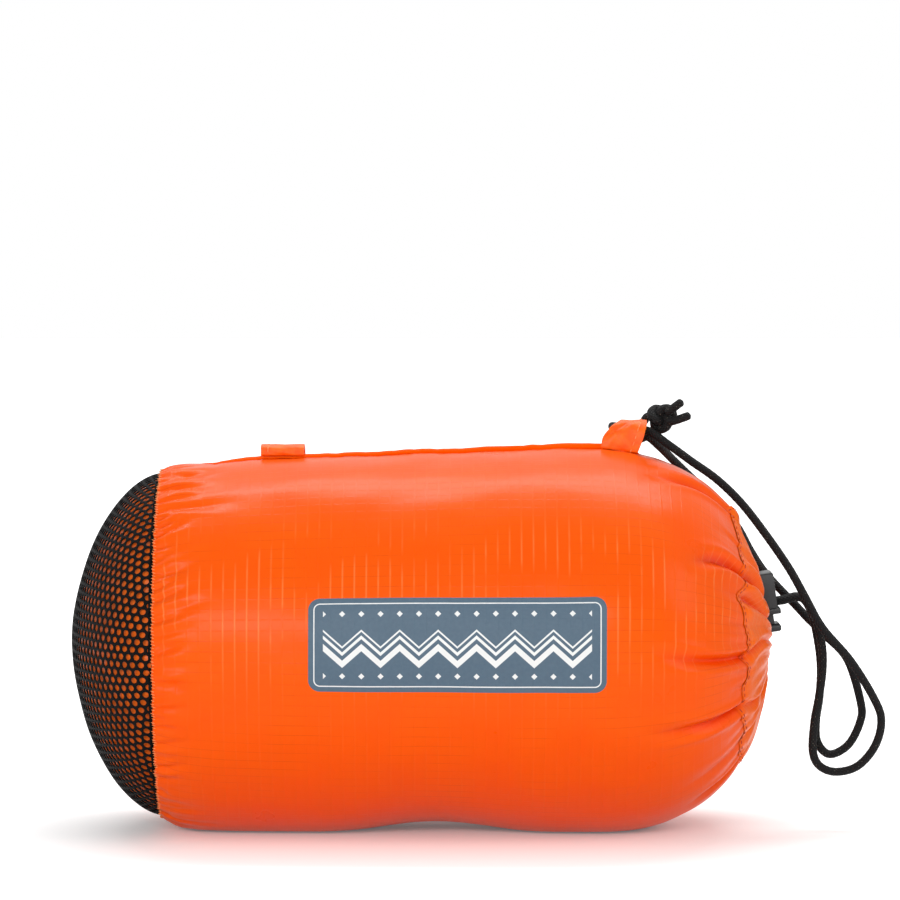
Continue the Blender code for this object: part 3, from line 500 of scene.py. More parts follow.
def dome_point(distance, angle, rise):
    """Point of the left end, this far along the cloth from its middle; past the seam it runs on."""
    table = np.linspace(-1.0, 0.12, 400)
    x, r = profile(table, 0.0)
    arc = summed(np.hypot(np.diff(x), np.diff(r)))
    return bag_point(np.interp(distance, arc, table), angle, rise)


def make_mesh_cloth():
    """Perforated knit: one six-sided cell round a hole, copied in staggered rows and laid over the end."""
    reach = float(np.sum(np.hypot(*np.diff(np.stack(profile(np.linspace(-1, 0, 400), 0.0)), axis=1))))
    cell = []
    for corner in range(CORNERS):
        turn = FULL_TURN * corner / CORNERS
        edge = HOLE_PITCH / 2 / math.cos((turn + math.pi / 6) % (math.pi / 3) - math.pi / 6)
        cell.append((turn, edge))
    built = bmesh.new()
    row_pitch = HOLE_PITCH * math.sqrt(3) / 2
    rows = int(reach / row_pitch) + 1
    for row in range(-rows, rows + 1):
        for column in range(-rows - 2, rows + 3):
            middle = Vector(((column + 0.5 * (row % 2)) * HOLE_PITCH, row * row_pitch, 0.0))
            if middle.length > reach + TUCK:
                continue
            rings = [[built.verts.new(middle + (size or edge) * Vector((math.cos(turn), math.sin(turn), 0.0)))
                      for turn, edge in cell] for size in (None, HOLE_RADIUS * HOLE_FLARE, HOLE_RADIUS)]
            for outer, inner in zip(rings, rings[1:]):
                for at in range(CORNERS):
                    after = (at + 1) % CORNERS
                    built.faces.new((outer[at], outer[after], inner[after], inner[at]))
            for vert in rings[2]:
                vert.co.z = -HOLE_DIP
    bmesh.ops.remove_doubles(built, verts=built.verts, dist=1e-5)
    flat = np.array([vert.co for vert in built.verts])
    distance, angle = np.hypot(flat[:, 0], flat[:, 1]), np.arctan2(flat[:, 1], flat[:, 0])
    under = smooth_step((distance - reach + TUCK) / 0.0016)
    soft = 0.25 * MM * lumps(np.pad(flat[:, :2], ((0, 0), (0, 1))), 0.016, 5.0)
    placed = dome_point(distance, angle, flat[:, 2] + soft * (1 - under) - 0.0011 * under)
    for vert, point in zip(built.verts, placed):
        vert.co = point
    mesh = bpy.data.meshes.new("mesh_cloth")
    built.to_mesh(mesh)
    built.free()
    piece = bpy.data.objects.new("mesh_cloth", mesh)
    bpy.context.scene.collection.objects.link(piece)
    turn_outwards(piece)
    thicken(piece, MESH_THICKNESS)
    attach(piece, "bag")
    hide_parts("mesh_end")
    return piece


def turn_outwards(piece):
    """Make all faces of an open sheet face away from the middle of the bag."""
    mesh = piece.data
    middle = Vector((0.0, 0.0, AXIS_HEIGHT))
    facing = sum(face.normal.dot(face.center - middle) for face in mesh.polygons)
    if facing < 0:
        mesh.flip_normals()
    mesh.shade_smooth()


def thicken(piece, thickness):
    """Give a sheet its cloth's thickness, inwards, and apply it."""
    pick(piece)
    solid = piece.modifiers.new("cloth", "SOLIDIFY")
    solid.thickness = thickness
    solid.offset = -1.0
    bpy.ops.object.modifier_apply(modifier=solid.name)


def make_stuffing():
    """Crumpled canopy that fills the bag and shows through the mesh and in the mouth.

    The knots are the place on the outline, the share of its length, and how deep it lies."""
    s_knots = [-1.0, -0.02, 0.10, 1.0, 1.40, 1.56, 1.75, 2.0]
    v_knots = [0.0, 0.56, 0.60, 0.80, 0.86, 0.90, 0.95, 1.0]
    deep_knots = [0.0008, 0.0010, 0.0030, 0.0032, 0.0045, 0.0075, 0.0120, 0.0135]

    def shape(u, v):
        s, angle = np.interp(v, v_knots, s_knots), FULL_TURN * u
        deep = np.interp(v, v_knots, deep_knots)
        points = bag_point(s, angle, -deep)
        folds = np.abs(lumps(points, 0.017, 21.0)) + 0.5 * np.abs(lumps(points, 0.007, 34.0))
        crumple = np.interp(v, [0.0, 0.52, 0.60, 1.0], [0.0015, 0.0015, 0.0040, 0.0040])
        return bag_point(s, angle, -deep - crumple * folds)

    piece = grid_piece("canopy_stuffing", STUFFING_CELLS, shape)
    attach(piece, "bag")
    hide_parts("packed_canopy")
    return piece


# Gathered mouth

def hem_ripple(angle):
    """Fine unevenness round the mouth, between -1 and 1."""
    return np.sin(37 * angle + 2.2 * np.sin(5 * angle))


def hem_folds(s, angle, r):
    """Pleats of the hem: each runs on from the bag's fold, deepens into a pocket, and meets the cord."""
    share = np.clip((s - STITCH_S) / (LIP_S - STITCH_S), 0, 1)
    rise = np.full_like(angle, 0.45)
    pocket = 0.70 + 0.30 * np.sin(math.pi * np.clip(share * 1.7, 0, 1)) - 0.25 * share
    for middle, _, at_cord, _, _, _, hem_depth, hem_width in MOUTH_FOLDS:
        centre = math.radians(middle) + math.radians(at_cord - middle) * np.minimum(share * 1.5, 1)
        rise -= hem_depth * pocket * crease(angle, centre, r, hem_width * (0.22 + 0.78 * r / STITCH_RADIUS))
    rise += 0.32 * hem_ripple(angle) * smooth_step(share * 2.5) * (1 - 0.5 * share)
    started = smooth_step(share / 0.16)
    edge = slide(np.full_like(angle, STITCH_S), angle)
    return (rise * MM + swell(s, angle)) * started + (sack_rise(edge, angle) + 0.15 * MM) * (1 - started)


def surface_point(s, angle, lift):
    """Point of the outer cloth, on the bag or on the hem, moved outwards by lift."""
    place = slide(s, angle)
    r = profile(place, angle)[1]
    rise = np.where(s < STITCH_S, sack_rise(place, angle), hem_folds(s, angle, r))
    return bag_point(place, angle, rise + lift, dented=True)


def make_hem():
    """Turned hem, gathered on the drawcord: stitching, lobes, rolled lip, and back along its inner face."""
    def folded(u, v):
        angle, s = FULL_TURN * u, np.interp(v, [0.0, 0.62], [STITCH_S - 0.006, LIP_S])
        place = slide(s, angle)
        return angle, s, place, hem_folds(s, angle, profile(place, angle)[1])

    def shape(u, v):
        angle, _, place, rise = folded(u, v)
        outer = bag_point(place, angle, rise, dented=True)
        lobe = np.abs(np.sin(9 * (angle - CREASE_ANGLE)))
        roll = LIP_RADIUS - (0.6 * (1 - lobe) - 0.12 * hem_ripple(angle)) * MM
        turn = np.clip((v - 0.62) / 0.22, 0, 1) * math.pi
        lip_x = LIP_X + swell(np.full_like(angle, LIP_S), angle) + roll * np.cos(turn)
        lip_r = CORD_RING_RADIUS - roll * np.sin(turn)
        y, z = turned(lip_r, angle)
        lip = columns(lip_x - dent(y, z), y, z)
        back = np.clip((v - 0.84) / 0.16, 0, 1)
        inner = bag_point(LIP_S + (STITCH_S - LIP_S) * back, angle, -(7.2 - 4.4 * back) * MM, dented=True)
        blend = smooth_step((v - 0.54) / 0.09)[:, None]
        front = outer * (1 - blend) + lip * blend
        tail = smooth_step((v - 0.82) / 0.06)[:, None]
        return front * (1 - tail) + inner * tail

    def flat(u, v):
        return columns(FULL_TURN * u * BODY_RADIUS / MM, 20 + 55 * v)

    def fold(u, v):
        angle, s, _, rise = folded(u, v)
        return (swell(s, angle) - rise) / (3.0 * MM)

    piece = grid_piece("mouth_hem", HEM_CELLS, shape, flat, fold)
    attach(piece, "bag")
    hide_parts("drawcord_casing")
    return piece


# Free drawcord: its two strands, knot and tails, their routes in tenths of a millimetre

AROUND_CORD, STRAND_RADIUS, KNOT_STRAND_RADIUS = 20, 0.00142, 0.00168
CORD_SPACING, GAP = 0.0033, 0.0003
LOCK_TILT = math.radians(8)
LOCK_UP = Vector((-math.sin(LOCK_TILT), 0.0, math.cos(LOCK_TILT)))
LOCK_OUT = Vector((math.cos(LOCK_TILT), 0.0, math.sin(LOCK_TILT)))
SLIT = Vector((0.107959, 0.0, 0.0756))
LONG_ROUTE = tenths((
    (1288, -19, 785), (1330, -26, 728), (1356, -30, 630), (1360, -30, 545), (1348, -30, 445),
    (1334, -30, 364), (1329, -30, 265), (1352, -30, 213), (1408, -30, 192), (1482, -30, 212),
    (1540, -30, 280), (1561, -30, 364), (1538, -32, 438), (1455, -50, 571), (1353, -83, 690),
    (1288, -93, 805), (1238, -86, 893), (1166, -60, 998), (1084, -36, 1104), (1000, -26, 1186),
    (910, -18, 1250), (835, -4, 1304), (765, 24, 1350), (690, 30, 1355), (660, 48, 1363),
    (647, 90, 1362), (664, 128, 1352), (712, 142, 1350), (751, 126, 1372), (767, 102, 1394),
    (790, 76, 1398)))
SHORT_ROUTE = tenths((
    (1284, 19, 786), (1322, 14, 738), (1346, 8, 640), (1357, 6, 545), (1353, 6, 445),
    (1342, 6, 364), (1347, 6, 290), (1389, 6, 248), (1452, 6, 280), (1492, 6, 358),
    (1494, 6, 425), (1448, 12, 571), (1374, 40, 652), (1318, 82, 706), (1275, 104, 752),
    (1222, 130, 806), (1172, 195, 862), (1132, 262, 925), (1088, 308, 1006), (1016, 310, 1098),
    (928, 278, 1176), (862, 220, 1240), (812, 128, 1290), (762, 74, 1330), (700, 66, 1334),
    (666, 68, 1332), (641, 98, 1324), (648, 142, 1315), (692, 170, 1305), (742, 164, 1314),
    (778, 134, 1334), (791, 108, 1354), (800, 80, 1374)))
TOP_TAIL = tenths(((826, 14, 1408), (846, 4, 1424), (866, -1, 1440), (883, -4, 1452)))
SIDE_TAIL = tenths(((830, 14, 1384), (850, 4, 1384), (880, -3, 1394), (909, -6, 1405)))
# Knot: its middle, and its turns' radius, wave and depth in mm
KNOT_CENTRE = Vector((0.0814, 0.0050, 0.1393))
KNOT_RADIUS, KNOT_WAVE, KNOT_DEPTH, KNOT_STEPS = 2.45, 1.35, 1.75, 180


def smooth_route(points, spacing):
    """Read points at an even spacing from a smooth curve through the route's own points."""
    route = [Vector(point) for point in points]
    route = [2 * route[0] - route[1]] + route + [2 * route[-1] - route[-2]]
    dense = []
    for index in range(1, len(route) - 2):
        dense += [curve(*route[index - 1:index + 3], part / 24) for part in range(24)]
    dense.append(route[-2])
    dense = np.array(dense)
    lengths = path_lengths(dense)
    wanted = np.linspace(0.0, lengths[-1], max(2, round(lengths[-1] / spacing)) + 1)
    return read_at(wanted, lengths, dense)


def tube_piece(name, path, radius, ring=False):
    """Cord along a path: its cross-section is carried along without twisting, its ends are drawn in."""
    path = np.asarray(path)
    steps = len(path) - 1
    along = np.roll(path, -1, axis=0) - np.roll(path, 1, axis=0) if ring else np.gradient(path, axis=0)
    along /= np.linalg.norm(along, axis=1)[:, None]
    side = np.cross(along[0], (0.1, 0.9, 0.3))
    sides = []
    for direction in along:
        side = side - direction * side.dot(direction)
        side /= np.linalg.norm(side)
        sides.append(side)
    sides = np.array(sides)
    others = np.cross(along, sides)
    lengths = path_lengths(path)

    def step_at(v):
        return np.clip(np.rint(v * steps).astype(int), 0, steps)

    def shape(u, v):
        at, turn = step_at(v), FULL_TURN * u
        size = np.full_like(u, radius)
        if not ring:
            ends = np.minimum(lengths[at], lengths[-1] - lengths[at]) / radius
            size = radius * np.sqrt(np.clip(1 - (1 - np.clip(ends + 0.02, 0, 1)) ** 3, 0.0, 1))
        strand = 1 + 0.035 * np.cos(8 * turn + FULL_TURN * lengths[at] / 0.0042) \
            * np.cos(8 * turn - FULL_TURN * lengths[at] / 0.0042)
        reach = (size * strand)[:, None]
        return path[at] + reach * (np.cos(turn)[:, None] * sides[at] + np.sin(turn)[:, None] * others[at])

    def flat(u, v):
        return columns(u * FULL_TURN * radius / MM, lengths[step_at(v)] / MM)

    piece = grid_piece(name, (AROUND_CORD, steps), shape, flat)
    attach(piece, "bag")
    return piece


def make_cords():
    """One cord: its two strands leave the hem side by side, pass the lock, hang, and end in the knot."""
    pieces = []
    for name, side, route in (("cord_front_strand", -1, LONG_ROUTE), ("cord_back_strand", 1, SHORT_ROUTE)):
        lane = Vector((0.0, side * CORD_SPACING / 2, 0.0))
        start = SLIT + LOCK_OUT * (LIP_RADIUS + 2 * GAP) + lane
        straight = [start + LOCK_OUT * step for step in (0.0, 0.005, 0.010)]
        path = smooth_route(straight + [Vector(point) for point in route], 0.0006)
        piece = tube_piece(name, path, STRAND_RADIUS)
        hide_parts("drawcord_long" if side < 0 else "drawcord_short")
        pieces.append((piece, start, path))
    knot = make_knot()
    tails = []
    for name, node, points in (("cord_tail_top", "cord_tail_upper", TOP_TAIL),
                               ("cord_tail_side", "cord_tail_lower", SIDE_TAIL)):
        tail = tube_piece(name, smooth_route(points, 0.0004), STRAND_RADIUS)
        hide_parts(node)
        tails.append(tail)
    return [piece for piece, _, _ in pieces] + [knot] + tails


def make_knot():
    """Tight overhand knot of the two ends."""
    tip = Matrix.Rotation(math.radians(78), 3, "X") @ Matrix.Rotation(math.radians(25), 3, "Z")
    path = []
    for number in range(KNOT_STEPS + 1):
        turn = FULL_TURN * number / KNOT_STEPS
        wide, deep = KNOT_RADIUS + KNOT_WAVE * math.cos(3 * turn), KNOT_DEPTH * math.sin(3 * turn)
        point = Vector((wide * math.cos(2 * turn), wide * math.sin(2 * turn), deep))
        path.append(KNOT_CENTRE + tip @ point * MM)
    knot = tube_piece("end_knot", path, KNOT_STRAND_RADIUS, ring=True)
    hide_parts("cord_knot")
    return knot


# Top seam and tape loops: where the welt runs, and in mm of cloth, how far the welt goes round and
# along and a tape round its loop and across

WELT_START, WELT_LENGTH = -0.0745, 0.1482
WELT_ROUND, WELT_ALONG, TAPE_ROUND, TAPE_WIDTH = 4, 148, 46, 14.6
TAPE_THICKNESS, TAPE_EDGE = 0.00075, 0.0002


def top_place(x):
    """Place on the outline of a point on the top line."""
    beyond = np.clip((x - SHOULDER_X) / END_DEPTH, 0, 1) ** (END_ROUND / 2)
    on_end = 1 + np.arcsin(beyond) * 2 / math.pi
    return np.where(x > SHOULDER_X, on_end, (x - SEAM_X) / (SHOULDER_X - SEAM_X))


def top_height(x, y):
    """Height of the smooth ripstop above a point near the top line."""
    s = top_place(x)
    radius = profile(s, math.pi / 2)[1] + swell(s, math.pi / 2)
    return AXIS_HEIGHT + np.sqrt(radius ** 2 - y ** 2)


def squared(wave, power):
    """Wave with fuller shoulders, the more the lower the power."""
    return np.sign(wave) * np.abs(wave) ** power


def make_welt():
    """Seam allowance along the top: a narrow folded strip that stands up, taller towards the mouth."""
    def shape(u, v):
        x = WELT_START + WELT_LENGTH * v
        turn = FULL_TURN * u
        taper = np.clip(np.minimum(v / 0.09, (1 - v) / 0.03), 0.02, 1) ** 0.6
        tall = (0.00050 + 0.00050 * v) * taper
        lean = -0.00035 * v * (1 + np.sin(turn))
        wander = 0.00012 * np.sin(x / 0.0047) + 0.00008 * np.sin(x / 0.0019 + 1)
        y = WELT_Y + wander + lean + 0.00055 * taper * squared(np.cos(turn), 0.6)
        lift = tall * (0.55 + 1.1 * squared(np.sin(turn), 0.7)) + 0.00004 * np.sin(x / 0.0011)
        place, top = top_place(x), np.full_like(x, math.pi / 2)
        cloth = sack_rise(place, top) - swell(place, top)
        return columns(x, y, top_height(x, y) + cloth + 0.0003 + lift)

    piece = grid_piece("top_welt", WELT_CELLS, shape, lambda u, v: columns(u * WELT_ROUND, v * WELT_ALONG))
    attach(piece, "bag")
    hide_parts("top_seam")
    return piece


def tape_piece(name, node, body, route, edges, creases=(), drop=0.0):
    """Woven tape round a closed route in the YZ plane, with its two X ends at each point of the route.

    creases are (place round, place across, slant, width, depth in mm) of folds pressed into it, and
    drop is how far its foot's second end lies below the first."""
    count = len(route)
    ring = np.array([(left, *point) for point, (left, right) in zip(route, edges)])
    far = np.array([right for left, right in edges])

    def spread(values, u):
        closed = np.concatenate([values[-2:], values, values[:3]])
        place = u * count + 2
        at = np.floor(place).astype(int)
        four = (closed[np.clip(at + shift, 0, len(closed) - 1)] for shift in (-1, 0, 1, 2))
        return curve(*four, place - at)

    def shape(u, v):
        left, y, z = (spread(ring[:, axis], u) for axis in range(3))
        right = spread(far, u)
        middle_y, middle_z = y.mean(), z.mean()
        away = np.hypot(y - middle_y, z - middle_z)
        dip = 0.00010 * np.sin(v * 9 + u * 40)
        for at, across, slant, width, depth in creases:
            dip = dip - depth * MM * bell(u - at, 0.11) * valley((v - across - slant * (u - at)) / width)
        foot = np.clip(1 - (z - np.min(z)) / 0.006, 0, 1)
        z = z - drop * v * foot
        y, z = y + dip * (y - middle_y) / away, z + dip * (z - middle_z) / away
        return columns(left + (right - left) * v, y, z)

    piece = grid_piece(name, TAPE_CELLS, shape, lambda u, v: columns(u * TAPE_ROUND, v * TAPE_WIDTH))
    pick(piece)
    solid = piece.modifiers.new("tape", "SOLIDIFY")
    solid.thickness = TAPE_THICKNESS
    solid.offset = 0.0
    rounded = piece.modifiers.new("edge", "BEVEL")
    rounded.width = TAPE_EDGE
    rounded.segments = 2
    rounded.limit_method = "ANGLE"
    rounded.angle_limit = math.radians(50)
    bpy.ops.object.modifier_apply(modifier="tape")
    bpy.ops.object.modifier_apply(modifier="edge")
    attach(piece, body)
    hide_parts(node)
    return piece


def make_left_loop():
    """Loop pressed nearly flat: sewn on in front of the seam and lying back over it."""
    base = float(top_height(np.array(-0.0471 + 0.0073), np.array(0.0))) + 0.0007
    route = [(y, base + height) for y, height in tenths((
        (-32, 1), (-35, 12), (-27, 24), (-4, 30), (35, 29), (75, 22),
        (106, 10), (110, -5), (80, -6), (35, 2), (6, 15), (-19, 17.5)))]
    edges, creases = [(-0.0544, -0.0398)] * len(route), [(0.25, 0.2, 0.4, 0.05, 0.12)]
    return tape_piece("left_tape_loop", "left_loop", "left_loop", route, edges, creases)


def make_right_loop():
    """Loop that the cord pulls up: its foot in front of the seam, its left edge drawn in over folds."""
    base = float(top_height(np.array(0.0605 + 0.0073), np.array(0.0))) + 0.0006
    left, right = 0.0605, 0.0751
    rows = tenths((
        (-34, 2, 0, -22), (-36, 36, 8, -4), (-26, 66, 30, 6), (-4, 84, 56, 10),
        (36, 88, 74, 8), (82, 74, 86, 4), (92, 44, 88, 0), (88, 12, 70, -10),
        (64, 0, 30, -20), (22, 8, 15, -21), (-20, 21, 8, -22)))
    route = [(y, base + height) for y, height, _, _ in rows]
    edges = [(left + shift_left, right + shift_right) for _, _, shift_left, shift_right in rows]
    creases = [(0.16, 0.22, 1.8, 0.10, 0.55), (0.20, 0.46, 1.2, 0.06, 0.22), (0.08, 0.05, 0.8, 0.08, 0.30)]
    return tape_piece("right_tape_loop", "right_loop", "bag", route, edges, creases, drop=0.0017)


# Threads

def sew(name, body, places, length, radius):
    """Row of stitches: one short thread, copied to each (middle, direction, outward side)."""
    pick()
    bpy.ops.mesh.primitive_uv_sphere_add(segments=8, ring_count=6, radius=1.0)
    row = bpy.context.object
    row.name = name
    one = np.array([vert.co for vert in row.data.vertices])
    faces = [tuple(face.vertices) for face in row.data.polygons]
    fuller = np.sqrt(np.clip(1 - np.abs(one[:, 2]) ** 3, 0, 1)) / np.maximum(np.hypot(*one[:, :2].T), 1e-6)
    wide, deep = ((one[:, axis] * fuller)[:, None] for axis in (0, 1))
    points, all_faces = [], []
    for number, (middle, along, outward) in enumerate(places):
        along = np.asarray(along) / np.linalg.norm(along)
        outward = outward - along * np.dot(outward, along)
        outward /= np.linalg.norm(outward)
        across = np.cross(outward, along)
        size = random.uniform(0.88, 1.08)
        points.append(middle + one[:, 2:3] * along * length / 2 * size
                      + wide * across * radius + deep * outward * radius)
        all_faces += [tuple(corner + number * len(one) for corner in face) for face in faces]
    mesh = bpy.data.meshes.new(name)
    mesh.from_pydata(np.concatenate(points).tolist(), [], all_faces)
    mesh.shade_smooth()
    row.data = mesh
    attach(row, body)
    return row


def stitch_line(s, angle, lift, step):
    """Places for stitches along a line on the cloth, step apart."""
    points = surface_point(s, angle, lift * MM)
    outward = surface_point(s, angle, (lift + 0.5) * MM) - points
    lengths = path_lengths(points)
    wanted = np.arange(step / 2, lengths[-1], step)
    even, sides = read_at(wanted, lengths, points), read_at(wanted, lengths, outward)
    return list(zip(even, np.gradient(even, axis=0), sides))


def make_stitches():
    """The hem's row, and the overlocked edge of the ripstop on the mesh."""
    angle = np.linspace(0, FULL_TURN, 1200)
    s = np.full_like(angle, STITCH_S + 0.006)
    line = stitch_line(s, angle, lift=0.05, step=0.0022)
    rows = [sew("hem_stitches", "bag", line, length=0.00150, radius=0.00019)]
    edge_turns = np.linspace(0, FULL_TURN, 331)[:-1]
    at_edge = np.full_like(edge_turns, 0.0035)
    edge = surface_point(at_edge, edge_turns, 0.12 * MM)
    outward = surface_point(at_edge, edge_turns, 0.62 * MM) - edge
    slant = columns(np.ones_like(edge_turns), -0.35 * np.sin(edge_turns), 0.35 * np.cos(edge_turns))
    rows.append(sew("seam_overlock", "bag", list(zip(edge, slant, outward)), length=0.0015, radius=0.00014))
    return rows


def loop_stitches(loop, name, body, across, first, last):
    """Row of stitches along a tape loop at this share of its width, over part of its round."""
    mesh = loop.data
    corners = np.empty(len(mesh.loops) * 2)
    mesh.uv_layers.active.data.foreach_get("uv", corners)
    corners = corners.reshape(-1, 2)
    verts = np.empty(len(mesh.loops), dtype=np.int32)
    mesh.loops.foreach_get("vertex_index", verts)
    wanted = []
    middle = np.mean([vert.co for vert in mesh.vertices], axis=0)
    for round_place in np.arange(first, last, 0.045):
        gap = np.hypot(corners[:, 0] - round_place * TAPE_ROUND, corners[:, 1] - across * TAPE_WIDTH)
        close = np.argsort(gap)[:24]
        points = np.array([mesh.vertices[verts[index]].co for index in close])
        away = np.hypot(points[:, 1] - middle[1], points[:, 2] - middle[2])
        wanted.append(points[np.argmax(away)])
    wanted = np.array(wanted)
    outward = wanted - np.array([0.0, middle[1], middle[2]])
    outward[:, 0] = 0.0
    outward /= np.linalg.norm(outward, axis=1)[:, None]
    places = list(zip(wanted + outward * 0.00008, np.gradient(wanted, axis=0), outward))
    return sew(name, body, places, length=0.00145, radius=0.00017)


# Cord lock

def lock_space():
    """The lock's own axes: X out through its cord hole, Y across, Z up its body."""
    centre = SLIT + LOCK_OUT * (LIP_RADIUS + 0.0011 + 0.0038) + LOCK_UP * 0.0033
    turned = Matrix((LOCK_OUT, (0.0, 1.0, 0.0), LOCK_UP)).transposed()
    return Matrix.Translation(centre) @ turned.to_4x4()


def round_edges(made, wanted, offset, segments):
    """Bevel the edges that wanted(edge) picks."""
    bpy.ops.object.mode_set(mode="EDIT")
    built = bmesh.from_edit_mesh(made.data)
    for item in built.edges:
        item.select_set(wanted(item))
    bmesh.update_edit_mesh(made.data)
    bpy.ops.mesh.bevel(offset=offset, segments=segments, affect="EDGES")
    bpy.ops.object.mode_set(mode="OBJECT")


def block(name, size, height, corner=0.0, segments=4, edge=0.0):
    """Cube primitive of this size, up the lock's own axis, its upright edges rounded, then its rims."""
    pick()
    bpy.ops.mesh.primitive_cube_add(size=1.0)
    made = bpy.context.object
    made.name = name
    made.data.transform(Matrix.Translation((0.0, 0.0, height)) @ Matrix.Diagonal((*size, 1.0)))

    def upright(item):
        return abs(item.verts[0].co.z - item.verts[1].co.z) > size[2] / 2

    def on_rim(item):
        return any(abs(face.normal.z) > 0.9 for face in item.link_faces)

    if corner:
        round_edges(made, upright, corner, segments)
    if edge:
        round_edges(made, on_rim, edge, 3)
    return made


def carve(piece, cutters, operation="DIFFERENCE"):
    """Cut pieces out of a piece, or melt them into it, and remove them."""
    pick(piece)
    for cutter in cutters:
        boolean = piece.modifiers.new(cutter.name, "BOOLEAN")
        boolean.operation = operation
        boolean.object = cutter
        bpy.ops.object.modifier_apply(modifier=boolean.name)
        bpy.data.objects.remove(cutter)


def seat_in_lock(piece, body, node):
    piece.data.transform(lock_space())
    piece.data.update()
    pick(piece)
    bpy.ops.object.shade_smooth_by_angle(angle=math.radians(32))
    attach(piece, body)
    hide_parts(node)
    return piece


def make_lock_shell():
    """Moulded body: a rounded block with a collar at its mouth, grip ridges, a bore and a cord hole."""
    shell = block("lock_shell", (0.0076, 0.0122, 0.0142), 0.0, corner=0.0030, segments=6, edge=0.0009)
    collar = block("collar", (0.0094, 0.0140, 0.0020), -0.0061, corner=0.0036, segments=6, edge=0.0004)
    ridges = [block("ridge", (0.0083, 0.0095, 0.0006), 0.0012 + 0.0013 * n, corner=0.0018, edge=0.0002)
              for n in range(4)]
    carve(shell, [collar] + ridges, "UNION")
    bore = block("bore", (0.0049, 0.0095, 0.0146), -0.0018, corner=0.0016)
    hole = block("hole", (0.03, 0.0075, 0.0039), -0.00315)
    carve(shell, [bore, hole])
    return seat_in_lock(shell, "cord_lock", "lock_body")


def make_lock_button():
    """Push button: a thumb pad on a neck, and the slotted stem that grips the cords."""
    pad = block("lock_button_pad", (0.0083, 0.0119, 0.0027), -0.01185, corner=0.0030, segments=6,
                edge=0.0010)
    stem = block("stem", (0.0043, 0.0089, 0.0119), -0.0056, corner=0.0015, edge=0.0003)
    stud = block("stud", (0.0019, 0.0019, 0.0020), 0.0008, corner=0.0009, edge=0.0002)
    rib = block("rib", (0.0086, 0.0088, 0.0005), -0.0118, corner=0.0015, edge=0.0002)
    carve(pad, [stem, stud, rib], "UNION")
    slot = block("slot", (0.03, 0.0069, 0.0060), -0.0045)
    carve(pad, [slot])
    return seat_in_lock(pad, "lock_button", "lock_plunger")


# Materials

def material(name, colour, roughness, **extra):
    """Material of this colour and finish, what adds nodes to it, and its shader."""
    made = bpy.data.materials.new(name)
    made.use_nodes = True
    shader = made.node_tree.nodes["Principled BSDF"]
    feed(shader, Base_Color=colour, Roughness=roughness, **extra)
    return made, partial(add, made.node_tree), shader


def line_grid(node, value, pitch, full, none):
    """1 on lines this far apart, fading to 0 at none from their middles."""
    return node("MapRange", node("PINGPONG", value, pitch / 2), full, none, 1.0, 0.0)


def rounded_box(node, x, y, half_x, half_y, corner):
    """Distance outside a rounded rectangle round zero, negative inside."""
    beyond_x, beyond_y = (
        node("MAXIMUM", node("SUBTRACT", node("ABSOLUTE", value), half - corner), 0.0)
        for value, half in ((x, half_x), (y, half_y)))
    square = node("MULTIPLY_ADD", beyond_x, beyond_x, node("MULTIPLY", beyond_y, beyond_y))
    return node("SUBTRACT", node("SQRT", square), corner)


def ripstop_material(low, high, printed=False):
    """Silicone-coated ripstop nylon: thin, smooth and satin, with thicker threads each 3.9 mm.

    The threads that run round the bag are painted lighter, as a painted highlight, in the band of the front
    that faces the soft boxes; those along it read as fine dark lines."""
    made, node, shader = material("coated_ripstop_nylon", low, 0.28, Specular_IOR_Level=0.125)
    coordinates = node("TexCoord")
    cloth, own_place = coordinates["UV"], coordinates["Object"]
    place = node("SeparateXYZ", cloth)
    round_mm, along_mm = place["X"], place["Y"]
    round_threads = line_grid(node, along_mm, 3.9, 0.08, 0.42)
    long_threads = line_grid(node, round_mm, 3.7, 0.04, 0.22)
    patches = node("TexNoise", Vector=own_place, Scale=55.0, Detail=3.0)
    stretched = node("Mapping", Vector=cloth, Scale=(0.045, 0.05, 1.0))
    streaks = node("TexNoise", Vector=stretched, Scale=1.0, Detail=3.0)
    crinkle = node("TexNoise", Vector=own_place, Scale=260.0, Detail=5.0, Roughness=0.62)
    weave = node("TexNoise", Vector=own_place, Scale=2600.0, Detail=1.0)
    # Painted highlight: the round threads are painted lighter in the band of the front that faces the soft
    # boxes
    band = node("MULTIPLY", node("MapRange", round_mm, 158.0, 172.0),
                node("MapRange", round_mm, 198.0, 226.0, 1.0, 0.0))
    painted_glint = node("MULTIPLY", node("MapRange", streaks, 0.44, 0.58),
                 node("MULTIPLY_ADD", band, 0.40, 0.05))
    painted_thread_highlight = node("MULTIPLY", round_threads, painted_glint)
    dark = node("MULTIPLY", long_threads, node("MapRange", patches, 0.44, 0.64, 0.02, 0.50))
    # Painted shade: cloth lying deep in a fold is painted redder, standing in for the light that its own
    # colour throws into the fold
    deep = node("MapRange", node("Attribute"), 0.12, 0.95, 0.0, 0.70)
    tone = node("Mix", node("MapRange", patches, 0.2, 0.8), low, high)
    for share, colour in ((deep, "#E22200"), (dark, "#E44400"), (painted_thread_highlight, "#FF9450")):
        tone = node("Mix", share, tone, colour)
    rough = node("MapRange", patches, 0.1, 0.9, 0.25, 0.35)
    if printed:
        tone, ink = panel_print(node, round_mm, along_mm, tone)
        rough = node("MULTIPLY_ADD", ink, 0.10, rough)
    threads = node("MAXIMUM", round_threads, node("MULTIPLY", long_threads, 0.6))
    height = node("MULTIPLY_ADD", threads, 0.55, crinkle)
    height = node("MULTIPLY_ADD", weave, 0.15, height)
    feed(shader, Base_Color=tone, Roughness=rough,
         Normal=node("Bump", Height=height, Strength=0.30, Distance=0.00022))
    return made


